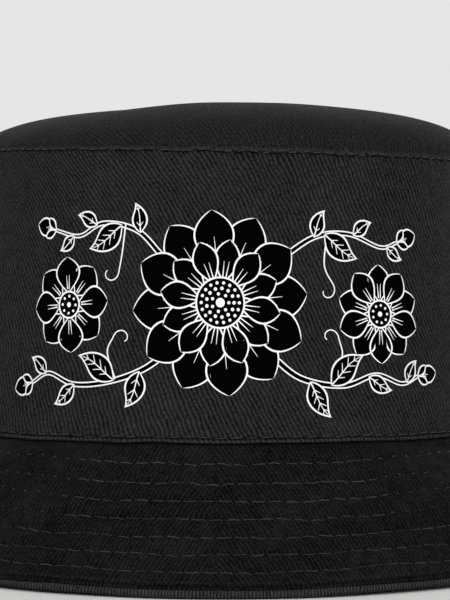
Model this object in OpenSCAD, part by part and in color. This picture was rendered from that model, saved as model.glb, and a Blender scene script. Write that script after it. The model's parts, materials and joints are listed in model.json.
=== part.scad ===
// A bucket hat of black cotton twill, standing on the piped edge of its brim, with its front towards -Y.
// Left and right are the wearer's. Every cloth piece is a folded section turned about the crown's axis,
// and the whole round pattern is then stretched to the oval of a head.

/* [Crown] */
// Girth of the head that the sweatband fits
head_girth = 580; // [540:5:620]
// Length of the oval from front to back, over its width
oval_ratio = 1.09; // [1:0.01:1.2]
// Height of the side wall along the cloth, from the brim seam to the tip seam
wall_h = 88; // [72:1:110]
// How much smaller the wall's radius is at the tip seam than at the brim seam
wall_taper = 8; // [2:0.5:14]
// Rise of the domed tip above its seam
dome_rise = 18.5; // [12:0.5:30]
// Shoulder of the dome, from a plain ellipse to nearly square
dome_square = 2.5; // [2:0.1:3.2]

/* [Brim] */
// Width of the brim down its slope, from the crown's lower edge to the piping's outer edge
brim_w = 54.5; // [42:0.5:75]
// Slope of the brim below the horizontal
brim_angle = 49; // [25:1:62]
// Thickness of one stiffened ply of the brim at a row of stitches
ply = 1.2; // [0.8:0.1:2]
// How far a ply puffs up between two rows
puff = 0.4; // [0.1:0.05:0.9]
// Distance from the crown's edge to the first row
first_row = 8; // [5:0.5:10]
// Distance from the last row to the piping's outer edge
last_row = 8.1; // [6:0.1:12]
// Diameter of the piping's bead
piping_d = 2.7; // [2.4:0.1:4.5]
// Width of the piping's flange, sewn between the plies
flange_w = 6; // [3:0.5:8]
// Thickness of the piping's flange
flange_t = 0.6; // [0.3:0.1:0.8]

/* [Cloth and seams] */
// Thickness of the twill
cloth = 0.7; // [0.4:0.05:1.1]
// Height of the hems that turn up inside the brim seam
hem = 8; // [5:0.5:12]
// Thickness of the sweatband
band_t = 0.7; // [0.5:0.05:1.5]
// Height of the sweatband
band_h = 32; // [22:1:38]
// Depth of the fold along the sweatband's upper edge
band_fold = 6; // [3:0.5:10]
// Thickness of the tape over the inside seams
tape_t = 0.5; // [0.3:0.1:0.8]
// Width of the tape over each side seam
tape_w = 12; // [8:1:16]
// How far the tip seam's tape reaches down the wall
tape_drop = 6; // [4:0.5:10]
// Diameter of the sewing thread
thread_d = 0.6; // [0.3:0.05:0.9]
// Distance of a row of top stitching from its seam
stitch_in = 1.8; // [1.2:0.1:3]

/* [Eyelets] */
// Height of the eyelets up the side wall
eyelet_rise = 55; // [50:1:62]
// Distance of an eyelet from the side seam
eyelet_off = 13; // [11:0.5:22]
// Diameter of the eyelet's hole
eyelet_hole = 3.2; // [2:0.1:4]
// Outer diameter of the eyelet's worked rim
eyelet_d = 7; // [6:0.1:8]
// Height of the worked rim above the cloth
eyelet_t = 0.7; // [0.4:0.05:1]

/* [Hidden] */
$fn = 96;
row_count = 7;
lay = 0.1;          // gap between two layers of cloth
seam_turn = 0.05;   // degrees left free at each side seam, on each side of it
eyelet_wall = 0.6;  // thickness of the eyelet's worked wall, through the cloth
black = [0.14, 0.14, 0.145];
dark = [0.1, 0.1, 0.105];
soft = [0.19, 0.19, 0.2];
thread_grey = [0.3, 0.3, 0.3];

oval_x = 1 / sqrt(oval_ratio);
oval_y = sqrt(oval_ratio);
layer = cloth + lay;
fold_r = cloth + lay / 2;           // outer radius of a hem's fold
tuck = 2 * layer;                   // how far a wall's upper hem lies behind the tip
tilt = asin(wall_taper / wall_h);
base_r = head_girth / (2 * PI) + 4 * layer + band_t;
fold_gap = fold_r + lay + ply;      // from the lower fold's centre to the brim's middle
fold_z = piping_d / 2 + (brim_w - piping_d / 2) * sin(brim_angle) + fold_gap * cos(brim_angle);
base_z = fold_z - fold_r * (cos(tilt) - sin(tilt));
row_pitch = (brim_w - last_row - first_row) / (row_count - 1);
ply_end = brim_w - piping_d - lay;

// A point on the side wall: up the cloth from the brim seam, and in from its outer face.
function wall_pt(up, depth) =
    [base_r - up * sin(tilt) - depth * cos(tilt), base_z + up * cos(tilt) - depth * sin(tilt)];
// The centre of the fold along the wall's lower edge, from which the brim is set out.
fold_c = wall_pt(fold_r, fold_r);
// A point on the brim: down its slope from the crown's edge, and up from its middle.
function brim_pt(out, rise) =
    fold_c + out * [cos(brim_angle), -sin(brim_angle)]
    + (rise - fold_gap) * [sin(brim_angle), cos(brim_angle)];
// Where a layer behind the wall turns out into a layer of the brim.
function turn_pt(depth, rise) =
    let (
        over = [sin(brim_angle), cos(brim_angle)],
        up = (rise - fold_gap - (wall_pt(0, depth) - fold_c) * over) / cos(brim_angle + tilt)
    )
    wall_pt(up, depth);
// A point on the dome: its angle above the tip seam, and in from its outer face.
top = wall_pt(wall_h, 0);
bend = 2 / dome_square;
function dome_pt(angle, depth) =
    let (
        c = abs(cos(angle)),
        s = sin(angle),
        out = [pow(c, 2 - bend) / top[0], pow(s, 2 - bend) / dome_rise]
    )
    [top[0] * pow(c, bend), top[1] + dome_rise * pow(s, bend)] - depth * out / norm(out);
function reverse(list) = [for (i = [len(list) - 1:-1:0]) list[i]];
// Half a turn about a fold's centre, from one face of the cloth to the other.
function fold_arc(centre, from) =
    [for (i = [0:6]) centre + fold_r * [cos(from - 30 * i), sin(from - 30 * i)]];

// How a layer passes from the wall to behind the tip: a smooth step over the last of the wall.
step_h = 3 * layer;
step_end = 2 * lay;
hem_angles = [2, 4, 7, 11];
function blend(x) = x * x * (3 - 2 * x);
function wall_top(depth, angles) = concat(
    [for (i = [0:4]) wall_pt(wall_h - step_end - step_h * (1 - i / 4), depth + tuck * blend(i / 4))],
    [for (a = angles) dome_pt(a, depth + tuck)]
);

// A section turned through part of the oval, or all the way round it.
module arc(from, angle) {
    scale([oval_x, oval_y, 1])
        rotate_extrude(angle = angle, start = from) children();
}
module turned() {
    arc(0, 180) children();
    arc(180, 180) children();
}
module front_half() { arc(180 + seam_turn, 180 - 2 * seam_turn) children(); }
module back_half() { arc(seam_turn, 180 - 2 * seam_turn) children(); }
// A place on the oval, turned to face out of the wall: its turn about the axis and its section point.
function oval_pt(turn, point) = [point[0] * cos(turn) * oval_x, point[0] * sin(turn) * oval_y, point[1]];
module on_wall(turn, point) {
    facing = atan2(sin(turn) / oval_y, cos(turn) / oval_x);
    translate(oval_pt(turn, point)) rotate([0, 90 - tilt, facing]) children();
}
module rod(from, to, d) {
    run = to - from;
    translate(from)
        rotate([0, acos(run[2] / norm(run)), atan2(run[1], run[0])])
            cylinder(d = d, h = norm(run), $fn = 24);
}

// The domed tip, with its edge folded in and up.
dome_angles = concat([for (a = [90:-6:12]) a], [6, 2]);
module tip_section() {
    centre = [top[0] - fold_r, top[1] + fold_r];
    polygon(concat(
        [for (a = dome_angles) dome_pt(a, 0)],
        fold_arc(centre, 0),
        [for (a = hem_angles) dome_pt(a, cloth + layer)],
        [for (a = reverse(hem_angles)) dome_pt(a, layer)],
        [centre - [lay / 2, 0], centre + [lay / 2, 0]],
        [for (a = reverse(dome_angles)) dome_pt(a, cloth)]
    ));
}
module tip_panel() {
    color(soft) turned() tip_section();
}

// One wall panel: its lower edge is folded in and up, and its upper edge is tucked behind the tip.
module wall_section() {
    polygon(concat(
        reverse(fold_arc(fold_c, -tilt)),
        wall_top(0, hem_angles),
        reverse(wall_top(cloth, hem_angles)),
        [wall_pt(fold_r, cloth), wall_pt(fold_r, layer)],
        [wall_pt(hem, layer), wall_pt(hem, cloth + layer)]
    ));
}
function eyelet_turn(side, way) = side + way * eyelet_off / base_r * 180 / PI;
module eyelet_hole(side, way) {
    on_wall(eyelet_turn(side, way), wall_pt(eyelet_rise, 0))
        translate([0, 0, -3 * cloth])
            cylinder(r = eyelet_hole / 2 + eyelet_wall + lay, h = 4 * cloth);
}
module side_panel_front() {
    color(black)
        difference() {
            front_half() wall_section();
            eyelet_hole(0, -1);
            eyelet_hole(180, 1);
        }
}
module side_panel_back() {
    color(black)
        difference() {
            back_half() wall_section();
            eyelet_hole(0, 1);
            eyelet_hole(180, -1);
        }
}

// The brim's two plies, puffed between the rows of stitches, with room for the piping's flange.
rows = [for (k = [0:row_count - 1]) first_row + k * row_pitch];
puff_parts = [0, 0.15, 0.35, 0.65, 0.85];
end_ease = 0.4;  // how far the end of a ply is thinned towards the piping
function puffed(from, to) =
    [for (p = puff_parts) [from + p * (to - from), ply + puff * sin(180 * p)]];
quilt = concat(
    puffed(0, rows[0]),
    [for (k = [0:row_count - 2]) each puffed(rows[k], rows[k + 1])],
    puffed(rows[row_count - 1], ply_end - end_ease),
    [[ply_end - end_ease, ply], [ply_end, ply - end_ease]]
);
slot_rise = flange_t / 2 + lay;
slot_from = ply_end - flange_w - lay;
flange_slot = [[ply_end, slot_rise], [slot_from, slot_rise], [slot_from, lay / 2]];
module top_section() {
    polygon(concat(
        [wall_pt(hem, tuck), turn_pt(tuck, ply)],
        [for (p = quilt) brim_pt(p[0], p[1])],
        [for (p = flange_slot) brim_pt(p[0], p[1])],
        [turn_pt(tuck + cloth, lay / 2), wall_pt(hem, tuck + cloth)]
    ));
}
module under_section() {
    depth = tuck + layer;
    polygon(concat(
        [wall_pt(hem, depth + cloth), turn_pt(depth + cloth, -ply)],
        [for (p = quilt) brim_pt(p[0], -p[1])],
        [for (p = flange_slot) brim_pt(p[0], -p[1])],
        [turn_pt(depth, -lay / 2), wall_pt(hem, depth)]
    ));
}
module brim_top_front() { color(dark) front_half() top_section(); }
module brim_top_back() { color(dark) back_half() top_section(); }
module brim_under_front() { color(dark) front_half() under_section(); }
module brim_under_back() { color(dark) back_half() under_section(); }

// The corded piping round the edge, on which the hat stands, with its flange between the plies.
module edge_piping() {
    bead_r = piping_d / 2;
    middle = brim_w - bead_r;
    half = flange_t / 2;
    neck = asin(half / bead_r);     // the angle at which the flange leaves the bead
    bead_sides = 16;
    inner = ply_end - flange_w;
    color(soft)
        turned()
            polygon(concat(
                [for (i = [0:bead_sides])
                    let (a = 180 - neck - i * (360 - 2 * neck) / bead_sides)
                    brim_pt(middle + bead_r * cos(a), bead_r * sin(a))],
                [brim_pt(inner, -half), brim_pt(inner, half)]
            ));
}

// The sweatband: sewn in at the brim seam, free above, with its upper edge folded out.
module sweatband() {
    depth = 4 * layer;
    low = -cloth;
    color(soft)
        turned()
            polygon([
                wall_pt(low, depth + band_t),
                wall_pt(band_h - band_t / 2, depth + band_t),
                wall_pt(band_h, depth + band_t / 2),
                wall_pt(band_h, depth - lay - band_t / 2),
                wall_pt(band_h - band_t / 2, depth - lay - band_t),
                wall_pt(band_h - band_fold, depth - lay - band_t),
                wall_pt(band_h - band_fold, depth - lay),
                wall_pt(band_h - band_t, depth - lay),
                wall_pt(band_h - band_t, depth),
                wall_pt(low, depth)
            ]);
}

// Tapes that cover the raw edges inside.
tape_angles = concat(hem_angles, [15]);
module tip_seam_tape() {
    color(soft)
        turned()
            polygon(concat(
                [wall_pt(wall_h - tape_drop, layer)],
                wall_top(layer, tape_angles),
                reverse(wall_top(layer + tape_t, tape_angles)),
                [wall_pt(wall_h - tape_drop, layer + tape_t)]
            ));
}
module side_seam_tape(side) {
    span = tape_w / base_r * 180 / PI;
    low = hem + layer;
    high = wall_h - tape_drop - lay;
    color(soft)
        arc(side - span / 2, span)
            polygon([
                wall_pt(low, layer), wall_pt(high, layer),
                wall_pt(high, layer + tape_t), wall_pt(low, layer + tape_t)
            ]);
}

// Threads, each lying on its cloth.
thread_lift = thread_d / 2 + lay / 2;
module thread_ring(at) {
    translate(at) circle(r = thread_d / 2, $fn = 8);
}
module tip_stitch() {
    color(thread_grey) turned() thread_ring(dome_pt(4, -thread_lift));
}
module base_stitch() {
    color(thread_grey) turned() thread_ring(wall_pt(stitch_in, -thread_lift));
}
module sweatband_stitch() {
    color(thread_grey) turned() thread_ring(wall_pt(stitch_in, 4 * layer + band_t + thread_lift));
}
module brim_stitch(k) {
    color(thread_grey)
        for (face = [-1, 1])
            turned() thread_ring(brim_pt(rows[k - 1], face * (ply + thread_lift)));
}
module side_stitch(side) {
    low = stitch_in + 2 * thread_d;
    high = wall_h - step_h - step_end;
    color(thread_grey)
        for (way = [-1, 1])
            let (turn = side + way * stitch_in / base_r * 180 / PI)
                rod(oval_pt(turn, wall_pt(low, -thread_lift)),
                    oval_pt(turn, wall_pt(high, -thread_lift)), thread_d);
}

// A worked eyelet: a rim on each face of the cloth, and a wall through it.
module eyelet(side, way) {
    hole = eyelet_hole / 2;
    rim = eyelet_d / 2;
    ease = eyelet_t / 3;
    back = -layer;
    color(thread_grey)
        on_wall(eyelet_turn(side, way), wall_pt(eyelet_rise, 0))
            rotate_extrude()
                polygon([
                    [hole, back - eyelet_t + ease], [hole + ease, back - eyelet_t],
                    [rim - ease, back - eyelet_t], [rim, back - eyelet_t + ease],
                    [rim, back], [hole + eyelet_wall, back], [hole + eyelet_wall, lay], [rim, lay],
                    [rim, lay + eyelet_t - ease], [rim - ease, lay + eyelet_t],
                    [hole + ease, lay + eyelet_t], [hole, lay + eyelet_t - ease]
                ]);
}

tip_panel();
side_panel_front();
side_panel_back();
brim_top_front();
brim_top_back();
brim_under_front();
brim_under_back();
edge_piping();
sweatband();
tip_seam_tape();
side_seam_tape(0);  // side_seam_tape_left
side_seam_tape(180);  // side_seam_tape_right
tip_stitch();
base_stitch();
sweatband_stitch();
side_stitch(0);  // side_stitch_left
side_stitch(180);  // side_stitch_right
for (k = [1:row_count])
    brim_stitch(k);
eyelet(0, -1);  // eyelet_left_front
eyelet(0, 1);  // eyelet_left_back
eyelet(180, 1);  // eyelet_right_front
eyelet(180, -1);  // eyelet_right_back
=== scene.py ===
# %% [markdown]
# # A black twill bucket hat
#
# This notebook dresses the pattern of a bucket hat in cloth. The pattern comes in as a fixed
# frame of plain solids. The places below are read from that frame, and each piece of cloth is
# then built as a mesh of its own, with the folds, puckers and stitches that a solid leaves out.
# We work in metres, with the hat's front towards -Y and the floor at height 0.

# %% Load the pattern
import json
import math

import bpy
import numpy as np
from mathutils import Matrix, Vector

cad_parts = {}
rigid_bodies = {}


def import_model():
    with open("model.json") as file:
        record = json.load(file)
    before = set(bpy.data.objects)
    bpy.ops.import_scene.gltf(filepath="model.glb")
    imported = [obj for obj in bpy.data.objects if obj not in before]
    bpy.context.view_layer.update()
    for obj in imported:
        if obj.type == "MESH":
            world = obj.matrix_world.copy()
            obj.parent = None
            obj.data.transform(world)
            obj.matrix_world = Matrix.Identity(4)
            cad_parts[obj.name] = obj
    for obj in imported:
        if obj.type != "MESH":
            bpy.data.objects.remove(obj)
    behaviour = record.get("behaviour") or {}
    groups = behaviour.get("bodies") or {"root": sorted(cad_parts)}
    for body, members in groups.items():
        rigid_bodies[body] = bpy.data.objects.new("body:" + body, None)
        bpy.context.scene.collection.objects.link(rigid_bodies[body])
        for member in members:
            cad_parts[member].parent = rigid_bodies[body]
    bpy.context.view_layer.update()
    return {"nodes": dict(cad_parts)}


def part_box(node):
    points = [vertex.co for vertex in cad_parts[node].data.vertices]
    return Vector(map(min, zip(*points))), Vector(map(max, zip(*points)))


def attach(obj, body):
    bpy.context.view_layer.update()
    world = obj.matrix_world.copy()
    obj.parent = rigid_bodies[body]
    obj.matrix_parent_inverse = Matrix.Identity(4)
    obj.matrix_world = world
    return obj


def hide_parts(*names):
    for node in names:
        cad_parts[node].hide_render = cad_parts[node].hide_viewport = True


for leftover in list(bpy.data.objects):
    bpy.data.objects.remove(leftover)

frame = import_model()
mm = 0.001
print("pattern pieces:", len(frame["nodes"]))

# %% [markdown]
# ## Reading the crown
#
# A bucket hat is cut as if it were round, and then takes the oval of a head. We could measure
# the oval again for each piece. It is simpler to read one radius and one height for each seam,
# and to keep the oval as two stretches, across and along. The wall is then one straight line,
# which leans in a little as it rises.

# %% The oval, the wall and the tip
def corners(node):
    """The lowest and the highest corner of a pattern piece."""
    low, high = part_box(node)
    return np.array(low), np.array(high)


tip_low, tip_high = corners("tip_panel")
wall_low, wall_high = corners("side_panel_front")
stretch_y = math.sqrt((tip_high[1] - tip_low[1]) / (tip_high[0] - tip_low[0]))
stretch_x = 1 / stretch_y

base = np.array([wall_high[0] / stretch_x, wall_low[2]])
seam = np.array([tip_high[0] / stretch_x, tip_low[2]])
dome_rise = tip_high[2] - tip_low[2]
dome_square = 2.5  # the shoulder of the dome, between an ellipse at 2 and a square
wall_h = float(np.linalg.norm(seam - base))
up_way = (seam - base) / wall_h
out_way = np.array([up_way[1], -up_way[0]])
print("brim seam radius and height in mm:", (base / mm).round(1))
print("tip seam radius and height in mm:", (seam / mm).round(1), "wall:", round(wall_h / mm, 1))

# %% [markdown]
# ## Reading the brim
#
# The brim is a second straight line, which slopes down and out. Its outer shape is puffed, so a
# box round a ply would not say where the middle of the two plies lies. The rows of stitches do:
# they run at known steps down the brim, on both of its faces.

# %% The cloth's own sizes
cloth = 0.7 * mm  # thickness of the twill
lay = 0.1 * mm  # gap between two layers
layer = cloth + lay
fold_r = cloth + lay / 2  # outer radius of a folded hem
tuck = 2 * layer  # how far the wall's upper hem lies behind the tip
hem = 8 * mm  # height of the hems inside the brim seam
thread_d = float(np.ptp(corners("tip_stitch"), axis=0)[2])
print("twill in mm:", cloth / mm, "thread in the pattern in mm:", round(thread_d / mm, 2))

# %% The brim from its rows of stitches
row_count = 7
first_row = 8 * mm  # from the crown's edge to the first row
row_low, row_high = corners("brim_stitch_1")
end_low, end_high = corners(f"brim_stitch_{row_count}")
slope = math.atan2(row_low[2] - end_low[2], (end_high[0] - row_high[0]) / stretch_x)
down_way = np.array([math.cos(slope), -math.sin(slope)])
over_way = np.array([math.sin(slope), math.cos(slope)])
row_pitch = (row_low[2] - end_low[2]) / math.sin(slope) / (row_count - 1)
row_rise = (row_high[2] - row_low[2] - thread_d) / 2 / math.cos(slope)
ply = row_rise - thread_d / 2 - lay / 2  # thickness of one stiffened ply at a row
row_middle = np.array([
    row_high[0] / stretch_x - thread_d / 2 - row_rise * math.sin(slope),
    (row_low[2] + row_high[2]) / 2,
])

piping_low, piping_high = corners("edge_piping")
bead_r = 1.35 * mm  # half the thickness of the piping's bead
bead = np.array([piping_high[0] / stretch_x - bead_r, piping_low[2] + bead_r])
bead_out = first_row + float((bead - row_middle) @ down_way)
ply_end = bead_out - bead_r - lay
print("brim slope:", round(math.degrees(slope), 1), "row pitch in mm:", round(row_pitch / mm, 2))
print("ply in mm:", round(ply / mm, 2), "brim width in mm:", round((bead_out + bead_r) / mm, 1))


# %% [markdown]
# ## Points of the pattern
#
# A seamstress finds a spot by measuring along the cloth, not by its place in the room. So we
# make one function for each kind of piece, which takes such lengths and gives a radius and a
# height: up the wall, down the brim, or round the dome, and in from the outer face.

# %% Wall, brim and dome
def pair(a, b):
    """Two numbers or arrays side by side, as points."""
    return np.stack(np.broadcast_arrays(a, b), axis=-1)


def unit(ways):
    """The same directions with a length of 1."""
    return ways / np.linalg.norm(ways, axis=-1, keepdims=True)


def wall_at(up, depth=0.0):
    """Up the wall's cloth from the brim seam, and in from its outer face."""
    up, depth = np.broadcast_arrays(up, depth)
    return base + up[..., None] * up_way - depth[..., None] * out_way


def brim_at(out, rise=0.0):
    """Down the brim from the crown's edge, and up from the middle of its two plies."""
    out, rise = np.broadcast_arrays(out, rise)
    return row_middle + (out - first_row)[..., None] * down_way + rise[..., None] * over_way


def dome_at(angle, depth=0.0):
    """Round the tip from its seam at 0 to its middle at 90 degrees, and in from its outer face."""
    angle, depth = np.broadcast_arrays(np.radians(angle), depth)
    c, s = np.abs(np.cos(angle)).clip(1e-9), np.sin(angle)
    bend = 2 / dome_square
    out = unit(pair(c ** (2 - bend) / seam[0], s ** (2 - bend) / dome_rise))
    return pair(seam[0] * c**bend, seam[1] + dome_rise * s**bend) - depth[..., None] * out


# %% Where the wall's layers turn out into the brim
fold_centre = wall_at(fold_r, fold_r)
brim_gap = float((fold_centre - brim_at(0.0)) @ over_way)


def turn_at(depth, rise):
    """Where a layer behind the wall turns out into a layer of the brim."""
    away = float((wall_at(0.0, depth) - fold_centre) @ over_way)
    return wall_at((rise - brim_gap - away) / float(up_way @ over_way), depth)


print("brim below the wall's fold in mm:", round(brim_gap / mm, 2))

# %% [markdown]
# ## A hat that has been worn
#
# Real cloth is never quite true: seams sway, edges wander and the crown gives a little. We could
# push points about by hand in sculpt mode, but that can't be repeated or measured. A sum of a
# few cosines does the same, and it closes up without a step when it has gone once round the hat.

# %% Ways to wander and to fade
front = -math.pi / 2  # the turn at which the middle of the front lies


def ripple(seed, low, high, count=14):
    """A smooth wander of about unit size, with low to high waves in one round of the hat."""
    dice = np.random.default_rng(seed)
    waves = dice.integers(low, high + 1, count)
    starts = dice.uniform(0, 2 * math.pi, count)
    sizes = dice.uniform(0.5, 1, count)
    sizes *= math.sqrt(2 / np.sum(sizes**2))

    def value(turn):
        turn = np.asarray(turn, float)
        return sum(s * np.cos(w * turn + a) for w, a, s in zip(waves, starts, sizes))

    return value


def ease(x):
    """From 0 to 1 without a corner at either end."""
    x = np.clip(x, 0, 1)
    return x * x * (3 - 2 * x)


def bell(away, width):
    """1 at a place, and fading to nothing within about two widths of it."""
    return np.exp(-((away / width) ** 2))


# %% Equal steps round the oval
round_table = np.linspace(0, 2 * math.pi, 3601)
speed = np.hypot(stretch_x * np.sin(round_table), stretch_y * np.cos(round_table))
way_round = np.concatenate([[0], np.cumsum((speed[1:] + speed[:-1]) / 2)])
way_round *= 2 * math.pi / way_round[-1]


def even(turn):
    """A turn re-measured so that equal steps are equal lengths of cloth round the oval."""
    laps, rest = np.divmod(turn, 2 * math.pi)
    return laps * 2 * math.pi + np.interp(rest, round_table, way_round)


def uneven(even_turn):
    """The turn at which a re-measured turn lies."""
    laps, rest = np.divmod(even_turn, 2 * math.pi)
    return laps * 2 * math.pi + np.interp(rest, way_round, round_table)


def all_round(count):
    """Turns once round the hat, in equal steps."""
    return np.linspace(0, 2 * math.pi, count + 1)[:-1]


print("an eighth of the way round the cloth is at", round(math.degrees(uneven(math.pi / 4)), 1), "degrees")

# %% [markdown]
# ## The whole hat's ease, lean and lift
#
# The photograph shows the tip seam a little lower on one side, a dome that is fullest just off
# its middle, and a brim that sets itself differently at its sides. Moving each piece by itself
# would tear the seams open. So one function makes these moves for every piece, and whatever
# goes through `place` stays sewn to its neighbours.

# %% How far the hat has moved
crown_give = 0.5 * mm  # the wall bulges and dents by about this much
seam_lean = 0.022  # the tip seam falls this much for each metre towards the wearer's left
seam_drop, seam_wander = 0.55 * mm, 0.12 * mm
tip_full, full_at, full_width = 0.6 * mm, 18 * mm, 17 * mm  # the dome is fullest to the wearer's left
tip_sag, sag_width = 0.85 * mm, 45 * mm  # and sags to the right
foot_wander, foot_drop = 0.08 * mm, 0.95 * mm  # the wall's foot, at the sides for the drop
edge_lift, upper_lift = 0.7 * mm, 1.35 * mm  # the brim's edge and its upper rows, at the sides
crown_low, crown_high = ripple(11, 2, 6), ripple(12, 3, 9)
edge_sway = ripple(13, 3, 8)
seam_sway, foot_sway = ripple(14, 9, 46, 22), ripple(15, 7, 36, 20)


def crown_move(turn, x, rise, up, over):
    """How far the wall's foot, the tip seam and the dome have risen."""
    lean = seam_lean * x * ease(up) * (1 - ease(1.6 * over))
    full = tip_full * bell(x - full_at, full_width) - tip_sag * ease(-x / sag_width)
    swayed = (seam_wander * seam_sway(turn) - seam_drop) * bell(rise - seam[1], 9 * mm)
    foot = foot_wander * foot_sway(turn) * bell(rise - base[1], 6 * mm)
    return full * ease(3 * over) - lean + swayed + foot


def brim_move(turn, r, rise):
    """How far the brim has risen: its edge and its upper rows lift at the sides."""
    side = np.abs(np.cos(turn))
    out = np.clip((r - base[0]) / (bead[0] - base[0]), 0, 1.1)
    edge = edge_lift * ease((side - 0.15) / 0.25) * (1 + 0.2 * edge_sway(turn)) * ease((out - 0.45) / 0.55)
    upper = upper_lift * ease((side - 0.3) / 0.35) * ease(out / 0.12) * (1 - ease((out - 0.5) / 0.2))
    foot = foot_drop * ease((side - 0.3) / 0.45) * bell(rise - base[1], 8 * mm)
    return edge + upper - foot


def place(turn, point):
    """Puts section points at a turn round the hat, and lets the whole hat ease, lean and lift."""
    r, rise = point[..., 0], point[..., 1]
    up = np.clip((rise - base[1]) / (seam[1] - base[1]), 0, 1)
    over = np.clip((rise - seam[1]) / dome_rise, 0, 1)
    give = crown_low(turn) * np.sin(math.pi * up) + crown_high(turn) * up * (1 - over) * 0.4
    r = r + crown_give * give * np.minimum(r / seam[0], 1)
    x = r * np.cos(turn) * stretch_x
    y = r * np.sin(turn) * stretch_y
    z = rise + crown_move(turn, x, rise, up, over) + brim_move(turn, r, rise)
    return np.stack(np.broadcast_arrays(x, y, z), axis=-1)


print("middle of the front at the brim seam in mm:", (place(front, wall_at(0.0)) / mm).round(1))

# %% [markdown]
# ## Sections
#
# Every piece of this hat runs round the head, so it can be described by its section, as a
# potter's template describes a bowl. A section has a face, a back, and a direction in which
# relief pushes it. Drawing it as one path and giving the path a thickness keeps the cloth the
# same thickness round every fold.

# %% Paths with a thickness
def line(start, end, step):
    """Numbers from start to end, at about the given step."""
    return np.linspace(start, end, max(2, 1 + int(round(abs(end - start) / step))))


def strip(path, thickness, zero=0):
    """Cloth of one thickness along a path of points; lengths are counted from point number zero."""
    path = np.concatenate([np.atleast_2d(p) for p in path])
    run = unit(np.gradient(path, axis=0))
    out = np.stack([run[:, 1], -run[:, 0]], axis=1)
    lengths = np.linalg.norm(np.diff(path, axis=0), axis=1)
    along = np.concatenate([[0], np.cumsum(lengths)])
    return {
        "face": path + out * thickness / 2,
        "back": path - out * thickness / 2,
        "out": out,
        "along": along - along[zero],
    }


def fold(centre, radius, steps=8):
    """Half a turn under a fold, from its inner to its outer side."""
    angle = np.linspace(0, math.pi, steps + 1)[1:-1]
    return centre - radius * (np.outer(np.cos(angle), out_way) + np.outer(np.sin(angle), up_way))


# %% [markdown]
# ## The flat cloth
#
# A weave runs as the cloth lay under the scissors, not as the finished piece lies. So each piece
# carries a UV map named `cloth`, in metres on the flat cloth. Unwrapping by hand would do, but a
# hat's pattern pieces are plain shapes: a wall is a shallow fan, a brim ply a wide fan, the tip
# a disc, and tapes are straight. In the photograph the wall's ribs also bow a little, because
# steam and the block eased the cloth, so the fan is bent in the same way.

# %% Where each point lies on the flat cloth
rib_bow, bow_swing = 2.2, 5.0  # how the ribs bow up the wall, and how that changes round it
side_ease = 0.14  # how much the cloth is drawn in towards the sides


def off_front(turn):
    """How far round the cloth a turn lies from the middle of the front."""
    return even(turn) - even(front)


def flat_wall(turn, along):
    """A wall panel laid flat, with its ribs bent where steam eased the cloth."""
    lean = -up_way[0]
    fan = base[0] / lean
    around = off_front(turn) * base[0]
    angle = around * lean / base[0]
    bow = rib_bow - bow_swing * np.tanh((around + 8 * mm) / (40 * mm))
    drawn_in = side_ease * (around - 50 * mm * np.tanh(around / (50 * mm)))
    eased = bow * (along - wall_h / 2) ** 2 / 2 - drawn_in
    return pair((fan - along) * np.sin(angle) + eased, fan - (fan - along) * np.cos(angle))


def flat_brim(turn, along):
    """A brim ply laid flat, with its grain down the middle of the front."""
    reach = brim_at(0.0)[0] / math.cos(slope) + along
    angle = off_front(turn) * math.cos(slope)
    return pair(reach * np.sin(angle), -reach * np.cos(angle))


def flat_tip(turn, along):
    """The tip laid flat."""
    return pair(along * np.cos(turn) * stretch_x, along * np.sin(turn) * stretch_y)


def flat_strip(radius):
    """A straight tape, band or bias strip laid flat, from its radius round the hat."""
    return lambda turn, along: pair(radius * off_front(turn), along)


flat_tape, flat_edge = flat_strip(base[0]), flat_strip(bead[0])
foot_ends = flat_wall(np.array([-math.pi, 0.0]), 0.0)
print("front panel's foot laid flat in mm:", round(float(np.ptp(foot_ends[:, 0])) / mm, 1))


# %% [markdown]
# ## Pieces
#
# Every piece of cloth and every row of thread becomes one mesh object. Blender's modifiers could
# thicken a sheet for us, but here both faces are known, so we write the points and the faces
# ourselves. That also lets each point say how worn it is, and how much painted highlight and
# painted shade it carries, which the materials read later.

# %% Objects and pieces
def put_in(name, data):
    """Puts a mesh, a camera or a lamp into the scene."""
    made = bpy.data.objects.new(name, data)
    bpy.context.scene.collection.objects.link(made)
    return made


def mesh_object(name, points, faces, finish, flat=None):
    """A mesh in the scene. flat is each face corner's place on the flat cloth."""
    mesh = bpy.data.meshes.new(name)
    mesh.from_pydata(points.tolist(), [], faces.tolist())
    if flat is not None:
        flat = flat.reshape(-1).astype(np.float32)
        mesh.uv_layers.new(name="cloth").uv.foreach_set("vector", flat)
    mesh.materials.append(finish)
    return put_in(name, mesh)


def make_piece(name, points, faces, flat, finish, stands_for=(), slot=None, worn_and_painted_light=None):
    """A closed piece of the hat that faces outwards. worn_and_painted_light paints each point paler above
    0, as wear and painted highlight, and darker below 0, as painted shade on cloth and dulled thread.
    """
    a, b, c, d = (points[faces[:, i]] for i in range(4))
    volume = np.einsum("ij,ij->", a, np.cross(b, c) + np.cross(c, d))
    if volume < 0:
        faces, flat = faces[:, ::-1], flat[:, ::-1]
    piece = mesh_object(name, points, faces, finish, flat)
    piece.data.shade_smooth()
    if worn_and_painted_light is not None:
        made = piece.data.attributes.new("worn_and_painted_light", "FLOAT", "POINT")
        made.data.foreach_set("value", worn_and_painted_light.astype(np.float32))
    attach(piece, "root")
    if stands_for:
        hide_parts(*stands_for)
    print(name, len(faces), "faces")
    return piece


# %% Running a section round the hat
def no_relief(turn, along):
    """A plain face."""
    return 0 * (turn + along)


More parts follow.
